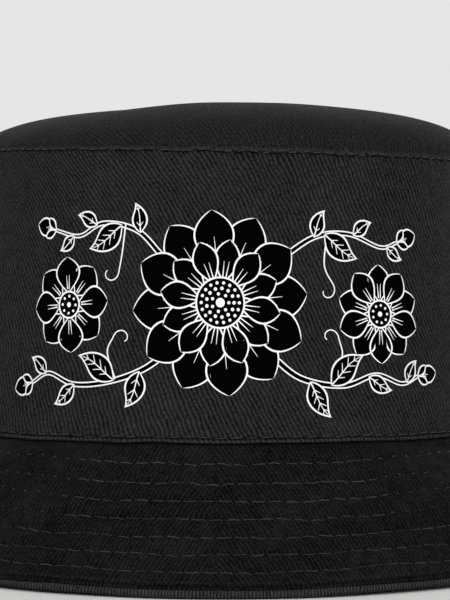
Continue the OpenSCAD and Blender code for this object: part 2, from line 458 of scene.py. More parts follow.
def sweep(name, section, turns, finish, relief=no_relief, back_relief=None, flat=flat_wall,
          closed=False, rubbed_and_shaded=None, **more):
    """A section run round the hat. relief pushes its face out, and back_relief its back."""
    k, n = len(section["along"]), len(turns)
    turn, along = turns[:, None], section["along"][None]
    face_out = section["out"][None]
    back_out = section.get("back_out", section["out"])[None]
    face = section["face"][None] + relief(turn, along)[..., None] * face_out
    back = section["back"][None] + (back_relief or relief)(turn, along)[..., None] * back_out
    outline = np.concatenate([face, back[:, ::-1]], axis=1)
    points = place(turn, outline).reshape(-1, 3)
    columns = np.append(turns, turns[0] + 2 * math.pi) if closed else turns
    both = np.concatenate([section["along"], section["along"][::-1]])
    spread = flat(columns[:, None], both[None])

    def patch(*spots):
        """Quads between four (column, row) corners, with their places on the flat cloth."""
        quads = np.stack([column % n * 2 * k + row for column, row in spots], axis=1)
        return quads, np.stack([spread[column, row] for column, row in spots], axis=1)

    i, j = np.meshgrid(np.arange(len(columns) - 1), np.arange(2 * k), indexing="ij")
    solid = np.maximum(outline[0, :, 0], np.roll(outline[0, :, 0], -1)) > 1e-6
    i, j = i[:, solid].ravel(), j[:, solid].ravel()
    next_j = (j + 1) % (2 * k)
    patches = [patch((i, j), (i, next_j), (i + 1, next_j), (i + 1, j))]
    if not closed:
        p = np.arange(k - 1)
        q = 2 * k - 1 - p
        for column, order in ((0, 1), (n - 1, -1)):
            patches.append(patch(*[(column, row) for row in (p, q, q - 1, p + 1)][::order]))
    faces, uv = (np.concatenate(parts) for parts in zip(*patches))
    # Wear, painted highlight and painted shade for each point, read from its place along the section.
    if rubbed_and_shaded:
        more["worn_and_painted_light"] = np.tile(np.concatenate([rubbed_and_shaded(section["along"]), np.zeros(k)]), n)
    return make_piece(name, points, faces, uv, finish, **more)


def edge_wear_and_light(*places):
    """Cloth painted paler at (spot, width, much), as wear and as a painted highlight, and painted shade in
    a groove, under a fold or in a press mark where much is below 0.
    """
    return lambda along: sum(much * bell(along - spot, width) for spot, width, much in places)


# %% [markdown]
# ## Colours and nodes
#
# A material could be wired by hand in the shader editor. In code, one small function does for
# every kind of node: it sets what is a value, links what is a socket, and gives back an output
# to use in the next call. Colours are written as sRGB hex codes, as a picture editor shows them,
# and one function turns them into the linear numbers that a shader takes.

# %% Two helpers
def colour(code):
    """An sRGB hex colour, as the linear numbers that a shader takes."""
    parts = [int(code[i:i + 2], 16) / 255 for i in (1, 3, 5)]
    return [p / 12.92 if p <= 0.04045 else ((p + 0.055) / 1.055) ** 2.4 for p in parts] + [1]


def add(tree, kind, inputs, out=0, **settings):
    """Adds a node with its settings, links or sets its inputs, and gives one of its outputs."""
    made = tree.nodes.new("ShaderNode" + kind)
    for name, value in settings.items():
        setattr(made, name, value)
    for name, value in inputs.items():
        if isinstance(value, bpy.types.NodeSocket):
            tree.links.new(value, made.inputs[name])
        else:
            made.inputs[name].default_value = value
    return made.outputs[out] if len(made.outputs) else None


# %% Patterns that several finishes share
def empty_tree(owner):
    """The node tree of a material or of the world, with nothing in it yet."""
    owner.use_nodes = True
    owner.node_tree.nodes.clear()
    return owner.node_tree


def stripes(tree, spot, way, pitch, wobble):
    """Ribs across the cloth: a sine along a way, once each pitch, between 0 and 1."""
    ways = (way[0] / pitch, way[1] / pitch, 0)
    across = add(tree, "VectorMath", {0: spot, 1: ways}, "Value", operation="DOT_PRODUCT")
    moved = add(tree, "Math", {0: across, 1: wobble}, operation="ADD")
    turned = add(tree, "Math", {0: moved, 1: 2 * math.pi}, operation="MULTIPLY")
    wave = add(tree, "Math", {0: turned}, operation="SINE")
    return add(tree, "MapRange", {"Value": wave, "From Min": -1, "From Max": 1})


def layered(tree, *patterns):
    """Patterns laid over each other, each as (weight, pattern)."""
    height = 0.0
    for weight, pattern in patterns:
        height = add(tree, "Math", {0: pattern, 1: weight, 2: height}, operation="MULTIPLY_ADD")
    return height


# %% [markdown]
# ## Cotton twill
#
# Twill is a weave whose warp threads float over two or three weft threads, each one step on from
# its neighbour, so that slanting ribs stand up from the cloth. We could paint it as an image,
# but a few nodes draw it at any size. The ribs are a sine of the place on the flat cloth, nudged
# by noise; the threads that cross them and the loose fibres are finer patterns on top.
#
# Dyed-black cotton isn't black: the ribs are a dark grey, and only the furrows go nearly black.
# It is fully matt, so the roughness starts near 1 and the gloss far below that of a plastic.
# Real fibres are about 0.02 mm thick, far too fine to show. They are drawn at 0.3 mm, about one
# pixel of the picture, and the gaps where a rib is broken at 0.8 mm.

# %% The weave
lump_sizes = (  # what a noise stands for, the size of its lumps in mm, and its detail
    ("bends", 6.0, 2.0),
    ("strays", 1.2, 2.0),
    ("breaks", 0.8, 1.0),
    ("fibres", 0.32, 3.0),
    ("patches", 3.6, 3.0),
    ("clouds", 22.0, 2.0),
)


def weave(tree, spot, pitch, lean, grain, turns_at):
    """The ribs, the threads that cross them, and the noises of the cloth by name."""
    lumps = {}
    for what, size, detail in lump_sizes:
        lumps[what] = add(tree, "TexNoise", {"Vector": spot, "Scale": 1 / (size * mm), "Detail": detail})
    across = (math.cos(math.radians(lean)), math.sin(math.radians(lean)))
    bends = add(tree, "Math", {0: lumps["bends"], 1: 1.4}, operation="MULTIPLY")
    ribs = stripes(tree, spot, across, pitch, bends)
    if turns_at is not None:
        left = stripes(tree, spot, (-across[0], across[1]), pitch, bends)
        sideways = add(tree, "SeparateXYZ", {0: spot})
        frayed = add(tree, "TexNoise", {"Vector": spot, "Scale": 1 / (5 * mm), "Detail": 2.0})
        ragged = layered(tree, (1.0, sideways), (16 * mm, frayed))
        low, high = turns_at + 6 * mm, turns_at + 10 * mm
        part = add(tree, "MapRange", {"Value": ragged, "From Min": low, "From Max": high})
        ribs = add(tree, "Mix", {0: part, 2: left, 3: ribs}, data_type="FLOAT")
    strays = add(tree, "Math", {0: lumps["strays"], 1: 3.0}, operation="MULTIPLY")
    floats = stripes(tree, spot, (-across[1], across[0]), 1.3 * pitch, strays)
    low, high = 0.1 + 0.1 * grain, 0.5 + 0.1 * grain
    unbroken = add(tree, "MapRange", {"Value": lumps["breaks"], "From Min": low, "From Max": high})
    broken = add(tree, "Math", {0: ribs, 1: unbroken}, operation="MULTIPLY")
    return broken, floats, lumps


# %% Twill as a material
def twill(name, furrow, rib, worn_and_painted_light, pitch, lean, depth, grain, mottle_and_shade, sheen=0.0, turns_at=None):
    """Cotton twill. pitch is from rib to rib, and lean is the way across the ribs in degrees.

    grain is how far the loose fibres hide the ribs, and mottle_and_shade how far the tone varies in
    patches: uneven dye, and on the brim also painted shade of its puckers. If turns_at is given, the ribs
    lean the other way on the left of it, as in two pieces cut as a mirrored pair.
    """
    made = bpy.data.materials.new(name)
    tree = empty_tree(made)
    spot = add(tree, "UVMap", {}, uv_map="cloth")
    ribs, floats, lumps = weave(tree, spot, pitch, lean, grain, turns_at)
    fibres, breaks = lumps["fibres"], lumps["breaks"]
    height = layered(tree, (0.75, ribs), (0.1, floats), (0.5 * grain, fibres), (0.4 * grain, breaks))
    shade = layered(tree, (0.6, ribs), (0.1, floats), (grain, fibres), (0.6 * grain, breaks),
                    (mottle_and_shade, lumps["patches"]), (0.7 * mottle_and_shade, lumps["clouds"]))
    middle = 0.395 + 0.71 * grain + 0.85 * mottle_and_shade  # the mean of that sum
    part = add(tree, "MapRange", {"Value": shade, "From Min": middle - 0.42, "From Max": middle + 0.5})
    dyed = add(tree, "Mix", {0: part, 6: colour(furrow), 7: colour(rib)}, 2, data_type="RGBA")

    # The mesh's attribute paints light into the colour: below 0 it mixes towards the furrow colour as
    # painted shade in grooves and under folds, and above 0 it makes the tops paler, as wear and as a
    # painted highlight.
    rubbed_and_shaded = add(tree, "Attribute", {}, "Fac", attribute_name="worn_and_painted_light")
    painted_shade = add(tree, "MapRange", {"Value": rubbed_and_shaded, "From Min": 0, "From Max": -1})
    shade_amount = add(tree, "Math", {0: painted_shade, 1: 0.8}, operation="MULTIPLY")
    dyed = add(tree, "Mix", {0: shade_amount, 6: dyed, 7: colour(furrow)}, 2, data_type="RGBA")
    fuzz = add(tree, "MapRange", {"Value": fibres, "From Min": 0.62, "From Max": 0.85})
    fleck = add(tree, "Math", {0: fuzz, 1: 0.5}, operation="MULTIPLY")
    tops = add(tree, "MapRange", {"Value": breaks, "From Min": 0.2, "From Max": 0.7})
    rub_and_highlight = add(tree, "Math", {0: rubbed_and_shaded, 1: tops}, operation="MULTIPLY")
    pale = add(tree, "Math", {0: fleck, 1: rub_and_highlight}, operation="MAXIMUM")
    seen = add(tree, "Mix", {0: pale, 6: dyed, 7: colour(worn_and_painted_light)}, 2, data_type="RGBA")

    bump = add(tree, "Bump", {"Height": height, "Distance": depth, "Strength": 1.0})
    surface = add(tree, "BsdfPrincipled", {
        "Base Color": seen, "Normal": bump, "Metallic": 0.0, "Roughness": 0.95, "IOR": 1.5,
        "Specular IOR Level": 0.05, "Sheen Weight": sheen, "Sheen Roughness": 0.4,
    })
    add(tree, "OutputMaterial", {"Surface": surface})
    return made


# %% [markdown]
# ## One weave, cut five ways
#
# One bolt of twill looks different in each part of a hat, by how it was cut and pressed, and the
# brim and the piping also carry painted shade and painted highlight in their colours. So each part
# gets its own material from the same function. The photograph shows about twenty ribs to
# 25 mm of the wall, which is a coarse, heavy twill, and that sets the pitch of 1.26 mm.

# %% The crown's twill
# Piece-dyed cotton twill, steamed on a block: dry and matt, with clear ribs and a soft bloom.
crown_twill = twill(
    "cotton_twill_dyed_black", "#070708", "#373738", "#4e4e4e", pitch=1.26 * mm, lean=25.5,
    depth=0.14 * mm, grain=0.5, mottle_and_shade=0.45, sheen=0.01)
# The same twill brushed by the press on the rounded top: its ribs are softer and its nap hides them.
tip_twill = twill(
    "cotton_twill_brushed_tip", "#0f0f10", "#282829", "#3e3e3f", pitch=1.4 * mm, lean=26,
    depth=0.08 * mm, grain=1.5, mottle_and_shade=0.35)

# %% The brim's twill
# Twill fused to stiffening and pressed flat, which leaves it flatter. It is set darker than the
# crown's twill, and its strong mottle is partly uneven tone and partly painted shade of the
# puckers between its rows. The front is cut as a mirrored pair, so the ribs lean the other way on one
# side.
brim_twill = twill(
    "cotton_twill_pressed_flat", "#020203", "#202021", "#333333", pitch=1.27 * mm, lean=30,
    depth=0.11 * mm, grain=1.0, mottle_and_shade=0.85, turns_at=-4 * mm)
# A bias strip pulled tight over cord: the ribs stand square across the edge and open up, so they
# catch more light than anywhere else. That light is painted into its paler colour as a painted
# highlight, and the ribs read as a rope of 1 mm strands.
piping_twill = twill(
    "cotton_twill_bias_cut", "#030304", "#464647", "#585858", pitch=1.0 * mm, lean=2,
    depth=0.18 * mm, grain=0.2, mottle_and_shade=0.4)

# %% The lining's drill
# Cotton drill, a finer twill at 45 degrees. Its real ribs are 0.4 mm apart, and are drawn at
# 0.6 mm so that they show at all. It never sees the sun, so it is even and deep.
band_cotton = twill(
    "cotton_drill_lining", "#09090a", "#202021", "#323232", pitch=0.6 * mm, lean=45,
    depth=0.05 * mm, grain=0.4, mottle_and_shade=0.5)


# %% [markdown]
# ## Sewing thread
#
# Spun polyester thread is two plies twisted together, so its light runs in slanting bars, which are
# drawn as bumps and painted into its colour as a painted highlight. It takes dye less deeply than
# cotton, which is why black stitches read as grey on black twill, and it shines a little more. One
# twist takes 0.7 mm, and the thread's tone drifts along a row over about 9 mm, painted light and
# shade for where it lies higher and lower in the cloth.

# %% Thread
def sewing_thread(name, dark, light):
    """Spun polyester thread. What the mesh gives as worn dims it."""
    made = bpy.data.materials.new(name)
    tree = empty_tree(made)
    spot = add(tree, "UVMap", {}, uv_map="cloth")
    twist = stripes(tree, spot, (1, 0.6), 0.7 * mm, 0.0)
    drift = add(tree, "TexNoise", {"Vector": spot, "Scale": 1 / (9 * mm), "Detail": 2.0})
    # Painted light and shade: the tone drifts as the thread lies higher and lower in the cloth.
    drift_light_and_shade = add(tree, "MapRange", {"Value": drift, "From Min": 0.35, "From Max": 0.65})
    dull = add(tree, "Attribute", {}, "Fac", attribute_name="worn_and_painted_light")
    # The twist's bars go into the colour as a painted highlight.
    level = layered(tree, (0.35, twist), (0.9, drift_light_and_shade), (1.0, dull))
    seen = add(tree, "Mix", {0: level, 6: colour(dark), 7: colour(light)}, 2, data_type="RGBA")
    bump = add(tree, "Bump", {"Height": twist, "Distance": 0.05 * mm})
    surface = add(tree, "BsdfPrincipled", {
        "Base Color": seen, "Normal": bump, "Metallic": 0.0, "Roughness": 0.7, "IOR": 1.5,
        "Specular IOR Level": 0.15,
    })
    add(tree, "OutputMaterial", {"Surface": surface})
    return made


thread = sewing_thread("polyester_thread_grey_black", "#1d1d1e", "#464648")
print("materials:", [m.name for m in bpy.data.materials])

# %% [markdown]
# ## The wall
#
# The crown's wall is two panels that meet in a seam at each side. The lower edge of each is
# folded up inside, and its upper edge is tucked behind the tip. Close to a seam the stitches
# gather the cloth into fine puckers. Cloth simulation would find such puckers only on a very
# fine grid, so we push the face in and out by a formula, which costs nothing and stays put.

# %% The wall's relief
halves = (("front", -math.pi), ("back", 0.0))  # each panel, and the turn where it starts
flanks = (("left", 0.0), ("right", math.pi))  # each side seam, and the turn where it lies
stitch_in = 1.8 * mm  # from a seam to its row of top stitching
seam_raise = 1.0 * mm  # the tip's edge is pressed up until it meets its stitches
pucker, pucker_fade = 0.38 * mm, 2.4 * mm  # how far the wall puckers, and how soon that ends
foot_press = 0.42 * mm  # how deep the stitches press the wall's foot
roll_in = 0.5 * mm  # how far the cloth rolls in at a side seam
seam_puckers = ripple(21, 75, 140, 24)
base_puckers = ripple(22, 60, 110, 20)


def side_gap(turn):
    """Length of cloth from a turn to the nearer side seam, at the brim seam."""
    away = np.abs(((turn + math.pi / 2) % math.pi) - math.pi / 2)
    return away * base[0] * stretch_y


def stitch_press(turn, up):
    """The stitches at the wall's foot press the cloth thin just below them."""
    foot = bell(up - stitch_in + 0.5 * mm, 0.46 * mm)
    return -foot_press * foot * (1 + 0.3 * base_puckers(turn)) * ease(up / (0.8 * mm))


def wall_relief(turn, up):
    """How far the wall's face stands out from the true cone."""
    below_tip = np.clip(wall_h + seam_raise - up, 0, None)
    puckers = np.exp(-below_tip / pucker_fade) * (0.3 + seam_puckers(turn))
    roll = -roll_in * bell(side_gap(turn), 0.9 * mm)
    ends = ease(up / (0.8 * mm)) * ease((wall_h + 1.8 * mm - up) / (2 * mm))
    return pucker * puckers * ends + stitch_press(turn, up) + roll


def panel_turns(start, end, step):
    """Turns from one side seam to the other, closer together beside the seams."""
    gap = 0.1 * mm / base[0]
    near = np.linspace(0, 3 * mm, 9)[1:] / base[0]
    middle = line(start + near[-1], end - near[-1], step / base[0])[1:-1]
    return np.concatenate([[start + gap], start + near, middle, end - near[::-1], [end - gap]])


# %% The wall's section
step_h = 0.6 * mm  # over this height the wall steps in behind the tip
step_foot = wall_h + seam_raise - step_h
step_part = np.linspace(0, 1, 7)


def behind_tip(start, depth, angles):
    """Up the wall from a height, in by the tuck, and on behind the tip's folded edge."""
    return [
        wall_at(line(start, step_foot, 0.8 * mm)[:-1], depth),
        wall_at(step_foot + step_h * step_part, depth + tuck * ease(step_part)),
        dome_at(np.array(angles), depth + tuck),
    ]


wall_path = [
    wall_at(line(hem, fold_r, 1.5 * mm), layer + cloth / 2),
    fold(fold_centre, fold_r - cloth / 2),
    wall_at(line(fold_r, 3 * mm, 0.18 * mm), cloth / 2),
    wall_at(line(3 * mm, wall_h - 9 * mm, 2 * mm)[1:-1], cloth / 2),
    *behind_tip(wall_h - 9 * mm, cloth / 2, (4, 7, 11)),
]
fold_at = len(wall_path[0]) + len(wall_path[1]) // 2
wall_section = strip(wall_path, cloth, fold_at)
print("wall's section:", len(wall_section["along"]), "points, folded at number", fold_at)


# %% The two panels
def outer_relief(turn, along):
    """Relief for the outer part of the wall's strip; the hem inside stays flat."""
    return wall_relief(turn, along) * (along > 0)


def inner_relief(turn, along):
    """The back follows the face, but the stitches don't press into it."""
    return (wall_relief(turn, along) - stitch_press(turn, along)) * (along > 0)


wall_wear_and_light = edge_wear_and_light(  # paler on its fold, as wear and painted highlight; painted shade in the groove under the stitches and under the tip
    (0.5 * mm, 0.4 * mm, 0.3), (1.3 * mm, 0.35 * mm, -1.0), (wall_h + 0.3 * mm, 0.5 * mm, -0.2))
wall_panels = {}
for name, start in halves:
    wall_panels[name] = sweep(
        "wall_cloth_" + name, wall_section, panel_turns(start, start + math.pi, 1.4 * mm),
        crown_twill, outer_relief, inner_relief, rubbed_and_shaded=wall_wear_and_light,
        stands_for=["side_panel_" + name], slot="crown_twill")

# %% [markdown]
# ## The tip
#
# The tip is one oval of twill, blocked into a dome over steam, with its edge folded under and
# sewn down on the wall. A Screw modifier could turn such a dome, but a worn one has soft lumps
# and fine puckers at its seam, so we sweep it like the wall. A fold that has been pressed is
# squarer than half a circle, and that little corner is what draws the seam's dark line.

# %% The tip's section
dome_angles = np.concatenate([np.linspace(90, 30, 22), np.linspace(28, 8, 14), [6.5, 5]])
tip_fold = np.array([seam[0] - fold_r, seam[1] + fold_r + seam_raise])
under = np.linspace(0, math.pi, 13)
pressed = 0.6  # 1 would be half a circle
fold_x = np.sign(np.cos(under)) * np.abs(np.cos(under)) ** pressed
fold_z = -(np.sin(under).clip(0) ** pressed)
tip_path = [
    dome_at(dome_angles, cloth / 2),
    tip_fold + (fold_r - cloth / 2) * pair(fold_x, fold_z),
    dome_at(np.array([5, 7, 11]), layer + cloth / 2),
]
tip_section = strip(tip_path, cloth)
# This path runs in from the middle, so what strip() takes for the face is the back.
tip_section["out"] *= -1
tip_section["face"], tip_section["back"] = tip_section["back"], tip_section["face"]
tip_edge = float(tip_section["along"][len(dome_angles)])
print("tip from its middle to its folded edge in mm:", round(tip_edge / mm, 1))

# %% The tip
tip_puckers = ripple(23, 75, 130, 20)
tip_lumps = ripple(24, 2, 5)
tip_lump, tip_pucker, tip_groove = 0.25 * mm, 0.12 * mm, 0.1 * mm  # how far each one moves the cloth


def tip_relief(turn, along):
    """Soft lumps over the dome, and fine puckers beside its seam."""
    edge = np.exp(-np.clip(tip_edge - along, 0, None) / (3 * mm))
    lump = tip_lumps(turn) * np.sin(math.pi * np.clip(along / tip_edge, 0, 1)) ** 2
    groove = bell(tip_edge - along - 0.4 * mm, 0.6 * mm)
    shown = ease((tip_edge + 0.5 * mm - along) / (1 * mm))
    return (tip_lump * lump + tip_pucker * edge * tip_puckers(turn) - tip_groove * groove) * shown


# The tip's folded edge is painted paler, as wear and as a painted highlight.
sweep("tip_cloth", tip_section, all_round(480), tip_twill, tip_relief, flat=flat_tip, closed=True,
      rubbed_and_shaded=edge_wear_and_light((tip_edge, 0.35 * mm, 0.5)), stands_for=["tip_panel"], slot="crown_twill")

# %% [markdown]
# ## The quilting of the brim
#
# Seven rows of stitches hold the brim's two plies together, and the cloth between them stays a
# little puffed, which is what catches the light. A machine guided by hand never keeps quite
# parallel, so each row wanders by a fraction of a millimetre. A bump map could draw the puffs,
# but not their outline, so they are real relief, and the puffs, the dimples and the threads all
# follow the same wander.

# %% Rows of stitches
rows = first_row + row_pitch * np.arange(row_count)
rows += np.array([0, 0.8, 0.8, 0.9, 0.8, 0.4, 0]) * mm  # the first gap was sewn a little wide
brim_stitch = 5.0 * mm
row_share = (0.88, 0.95, 0.84, 0.92, 0.9, 0.88, 0.9)  # how much of a row is thread, not gap
row_dull = (0, 0.1, 0.1, 0.3, 0.3, 0.35, 0.35)  # the thread is rubbed dull towards the brim's edge
row_wander = [ripple(40 + k, 5, 42, 24) for k in range(row_count)]
band_ripple = [ripple(60 + k, 12, 50, 20) for k in range(row_count + 1)]
pull_ripple = [ripple(80 + k, 90, 190, 24) for k in range(row_count)]
row_phase = np.random.default_rng(5).uniform(0, 1, row_count)
row_lengths = 2 * math.pi * brim_at(rows)[:, 0]
row_stitches = np.round(row_lengths / brim_stitch).astype(int)
print("stitches in each row:", row_stitches)


def row_out(k, turn):
    """How far down the brim a row lies."""
    return rows[k] + 0.26 * mm * row_wander[k](turn)


# %% The brim's relief
puff = 0.4 * mm  # how far the cloth stands up between two rows
row_groove = 0.16 * mm  # how far a row of stitches sinks into it
row_pull = 0.16 * mm  # how far the thread puckers the cloth beside a row
crease_deep, crease_swell = 0.24 * mm, 0.18 * mm  # the press mark, and the swell just inside it
root_sink = 0.5 * mm  # how far the brim dips under the wall's fold
edge_round = 1.1 * mm  # the plies round off over this width before the piping
press_line = ply_end - 0.7 * mm  # a last press mark just before the edge


def brim_relief(turn, along):
    """Puffs between the rows, grooves and dimples along them."""
    turn = np.asarray(turn, float)
    lines = [0 * turn, *(row_out(k, turn) for k in range(row_count)), ply_end - edge_round + 0 * turn]
    relief = 0 * (turn + along)
    for i, (near, far) in enumerate(zip(lines[:-1], lines[1:])):
        part = np.clip((along - near) / (far - near), 0, 1)
        size = puff if i < row_count else 0.5 * puff
        relief = relief + size * (1 + 0.45 * band_ripple[i](turn)) * np.sin(math.pi * part) ** 0.8
    for k in range(row_count):
        away = np.abs(along - row_out(k, turn))
        stitch = np.cos(even(turn) * row_stitches[k] + 2 * math.pi * row_phase[k])
        relief = relief - row_groove * bell(away, 0.7 * mm) * (1 + 0.12 * stitch)
        relief = relief + row_pull * np.exp(-away / (2 * mm)) * pull_ripple[k](turn)
    relief = relief - roll_in * bell(side_gap(turn), 0.7 * mm)
    relief = relief * ease(along / (1 * mm)) * ease((ply_end - along) / edge_round)
    crease = press_line + 0.12 * mm * row_wander[0](turn)
    relief = relief + crease_swell * bell(along - crease + 0.9 * mm, 0.4 * mm)
    relief = relief - crease_deep * bell(along - crease, 0.35 * mm)
    return relief - root_sink * bell(along - 0.4 * mm, 0.9 * mm)


# %% [markdown]
# ## The plies
#
# Each ply is cut in two halves, seamed at the sides, and its upper edge turns up behind the
# wall. Near the outer edge its inner face leaves a slot for the piping's flange. The section
# bends once and changes thickness, so we give its face and its back separately and join them
# point by point.

# %% A ply's section
flange_w = 6 * mm  # width of the piping's flange between the plies
flange_half = 0.3 * mm  # half its thickness
edge_thick = 0.8 * mm  # what is left of a ply's thickness at its rounded edge


def ply_section(side, step):
    """The section of the upper ply, with side 1, or of the lower ply, with side -1."""
    outer, inner = (tuck, tuck + cloth) if side > 0 else (tuck + layer + cloth, tuck + layer)
    part = np.linspace(0, 1, 5)[:-1, None]
    round_steps = edge_round * np.array([0.3, 0.55, 0.75, 0.9, 0.98, 1.0])
    outs = np.concatenate([line(0, ply_end - edge_round, step), ply_end - edge_round + round_steps])
    found = []
    for depth, rise in ((outer, side * ply), (inner, side * lay / 2)):
        bend = turn_at(depth, rise)
        start = float((bend - fold_centre) @ down_way)
        down = start + (ply_end + 0.35 * mm - start) * outs / ply_end
        found.append((wall_at(hem, depth) * (1 - part) + bend * part, down, bend))
    (face_up, face_out, bend), (back_up, back_out, _) = found
    round_part = np.clip((face_out - (ply_end - edge_round)) / edge_round, 0, 1)
    face_rise = side * (edge_thick + (ply - edge_thick) * np.sqrt(1 - round_part**2))
    in_slot = back_out > ply_end - flange_w - lay
    back_rise = side * np.where(in_slot, flange_half + lay, lay / 2)
    up = np.linalg.norm(face_up - bend, axis=1)
    ways = np.concatenate([np.tile(out_way, (len(up), 1)), np.tile(over_way, (len(face_out), 1))])
    return {
        "face": np.concatenate([face_up, brim_at(face_out, face_rise)]),
        "back": np.concatenate([back_up, brim_at(back_out, back_rise)]),
        "out": side * ways,
        "along": np.concatenate([face_out[0] - up, face_out]),
    }


# %% The four plies
# A paler line above the press mark, as wear and as a painted highlight, and painted shade in the press
# mark itself.
ply_wear_and_light = edge_wear_and_light((press_line - 0.9 * mm, 0.35 * mm, 0.35), (press_line, 0.4 * mm, -0.7))
ply_grids = (("top", 1, 0.66 * mm, 0.85 * mm), ("under", -1, 1.0 * mm, 1.4 * mm))
for name, start in halves:
    for ply_name, side, step, around in ply_grids:  # side, then steps down and round the brim
        sweep(f"brim_cloth_{ply_name}_{name}", ply_section(side, step),
              panel_turns(start, start + math.pi, around), brim_twill, brim_relief, no_relief,
              flat=flat_brim, rubbed_and_shaded=ply_wear_and_light, stands_for=[f"brim_{ply_name}_{name}"],
              slot="brim_twill")

# %% [markdown]
# ## The piping
#
# The brim ends in a piping: a cord in a bias strip, whose flange is sewn in between the plies. A
# curve with a round bevel would give the bead but not the flange, so the piping is a section
# like the rest. The cord thins towards the sides, where the cloth is pulled round it.

# %% The piping's section
bead_angles = np.radians(np.concatenate([np.linspace(167, 13, 10), [4]]))
ring = pair(np.cos(bead_angles), np.sin(bead_angles)) * bead_r
flange_outs = line(bead_out - bead_r - flange_w, bead_out - bead_r, 1.5 * mm)[:-1]
piping_sides = [
    np.concatenate([
        brim_at(flange_outs, side * flange_half),
        brim_at(bead_out + ring[:, 0], side * ring[:, 1]),
    ]) for side in (1, -1)
]
bead_ways = ring[:, :1] * down_way / bead_r + ring[:, 1:] * over_way / bead_r
piping_ways = np.concatenate([np.zeros((len(flange_outs), 2)), bead_ways])
piping_section = {
    "face": piping_sides[0],
    "back": piping_sides[1],
    "out": piping_ways,
    "back_out": piping_ways - 2 * (piping_ways @ over_way)[:, None] * over_way,
    "along": np.concatenate([flange_outs - bead_out, (math.pi - bead_angles) * bead_r]),
}
print("piping's bead in mm:", round(2 * bead_r / mm, 2), "flange in mm:", round(flange_w / mm, 1))

# %% The piping
piping_ripple = ripple(31, 5, 30)


def piping_relief(turn, along):
    """The cord thins a little towards the sides."""
    thin = 0.28 * mm * ease((np.abs(np.cos(turn)) - 0.1) / 0.4)
    return (0.06 * mm * (piping_ripple(turn) - 2) - thin) * (along > 0)


sweep("edge_piping_cord", piping_section, all_round(540), piping_twill, piping_relief,
      flat=flat_edge, closed=True, stands_for=["edge_piping"], slot="piping_twill")

# %% [markdown]
# ## The sweatband
#
# A band of soft cotton drill is sewn in at the brim seam and stands free above it, folded over
# along its top. It doesn't show in the photograph, but whoever turns the hat over will look for
# it. A plain ring would be quicker to make, but would look stiff, so it is one strip with a fold,
# and with slow waves in its free part.

# %% Sweatband
band_t, band_h, band_fold = 0.7 * mm, 32 * mm, 6 * mm
band_depth = 4 * layer
band_turn_r = (band_t + lay) / 2
band_turn_up = band_h - band_turn_r  # where the band turns over
band_top = wall_at(band_turn_up, band_depth - lay / 2)
over_top = np.linspace(0, math.pi, 8)[1:-1]
band_arc = np.outer(np.cos(over_top), out_way) - np.outer(np.sin(over_top), up_way)
band_path = [
    wall_at(line(-cloth, band_turn_up, 1.5 * mm), band_depth + band_t / 2),
    band_top - band_turn_r * band_arc,
    wall_at(line(band_turn_up, band_h - band_fold, 1 * mm), band_depth - lay - band_t / 2),
]
band_waves = ripple(71, 5, 16)


def band_relief(turn, along):
    """Slow waves in the free upper part; the fold behind moves with the band in front of it."""
    free = ease((np.minimum(along, band_h) - 8 * mm) / (20 * mm))
    return np.where(along > band_h, -1.0, 1.0) * (-0.45 * mm * band_waves(turn) * free)


sweep("sweatband_drill", strip(band_path, band_t), all_round(240), band_cotton, band_relief,
      flat=flat_tape, closed=True, stands_for=["sweatband"], slot="lining_cotton")

# %% [markdown]
# ## The seam tapes
#
# Inside an unlined crown, tapes cover the raw edges of the tip seam and the side seams. A curve
# with a flat bevel could draw them, but would cut the corner behind the tip. They hug the cloth
# that they are sewn to, so they take its path, a layer further in.

# %% Tapes
tape_t, tape_drop = 0.5 * mm, 6 * mm
tape_depth = layer + tape_t / 2
tip_tape_path = behind_tip(wall_h - tape_drop, tape_depth, (4, 7, 11, 15))
sweep("tip_seam_tape_cotton", strip(tip_tape_path, tape_t), all_round(240),
      band_cotton, flat=flat_tape, closed=True, stands_for=["tip_seam_tape"], slot="lining_cotton")

for name, middle_turn in flanks:
    half_width = corners(f"side_seam_tape_{name}")[1][1] / (base[0] * stretch_y)
    tape_path = [wall_at(line(hem + layer, wall_h - tape_drop - lay, 2 * mm), tape_depth)]
    sweep(f"side_tape_cotton_{name}", strip(tape_path, tape_t),
          np.linspace(middle_turn - half_width, middle_turn + half_width, 9), band_cotton,
          flat=flat_tape, stands_for=[f"side_seam_tape_{name}"], slot="lining_cotton")

# %% [markdown]
# ## Stitches
#
# A lockstitch is not a line but a row of short dashes: the thread comes up through one needle
# hole, lies on the cloth, and dives into the next. An array of one stitch along a curve would
# make them all alike. So every stitch is a small tube of its own, whose ends go into the cloth,
# and all the stitches of a row are one mesh.

# %% One stitch
thread_thick = 0.34 * mm
ends_at = np.array([0, 0.06, 0.2, 0.5, 0.8, 0.94, 1])  # rings of a stitch, as parts of its length
end_rise = np.array([-0.9, -0.1, 0.38, 0.42, 0.38, -0.1, -0.9])  # their height, in thread widths
end_thick = np.array([0.5, 0.85, 1, 1, 1, 0.85, 0.5])
sides = 6
hexagon = np.array([[0, 1, 2, 3], [0, 3, 4, 5]])  # a tube's end as two quads


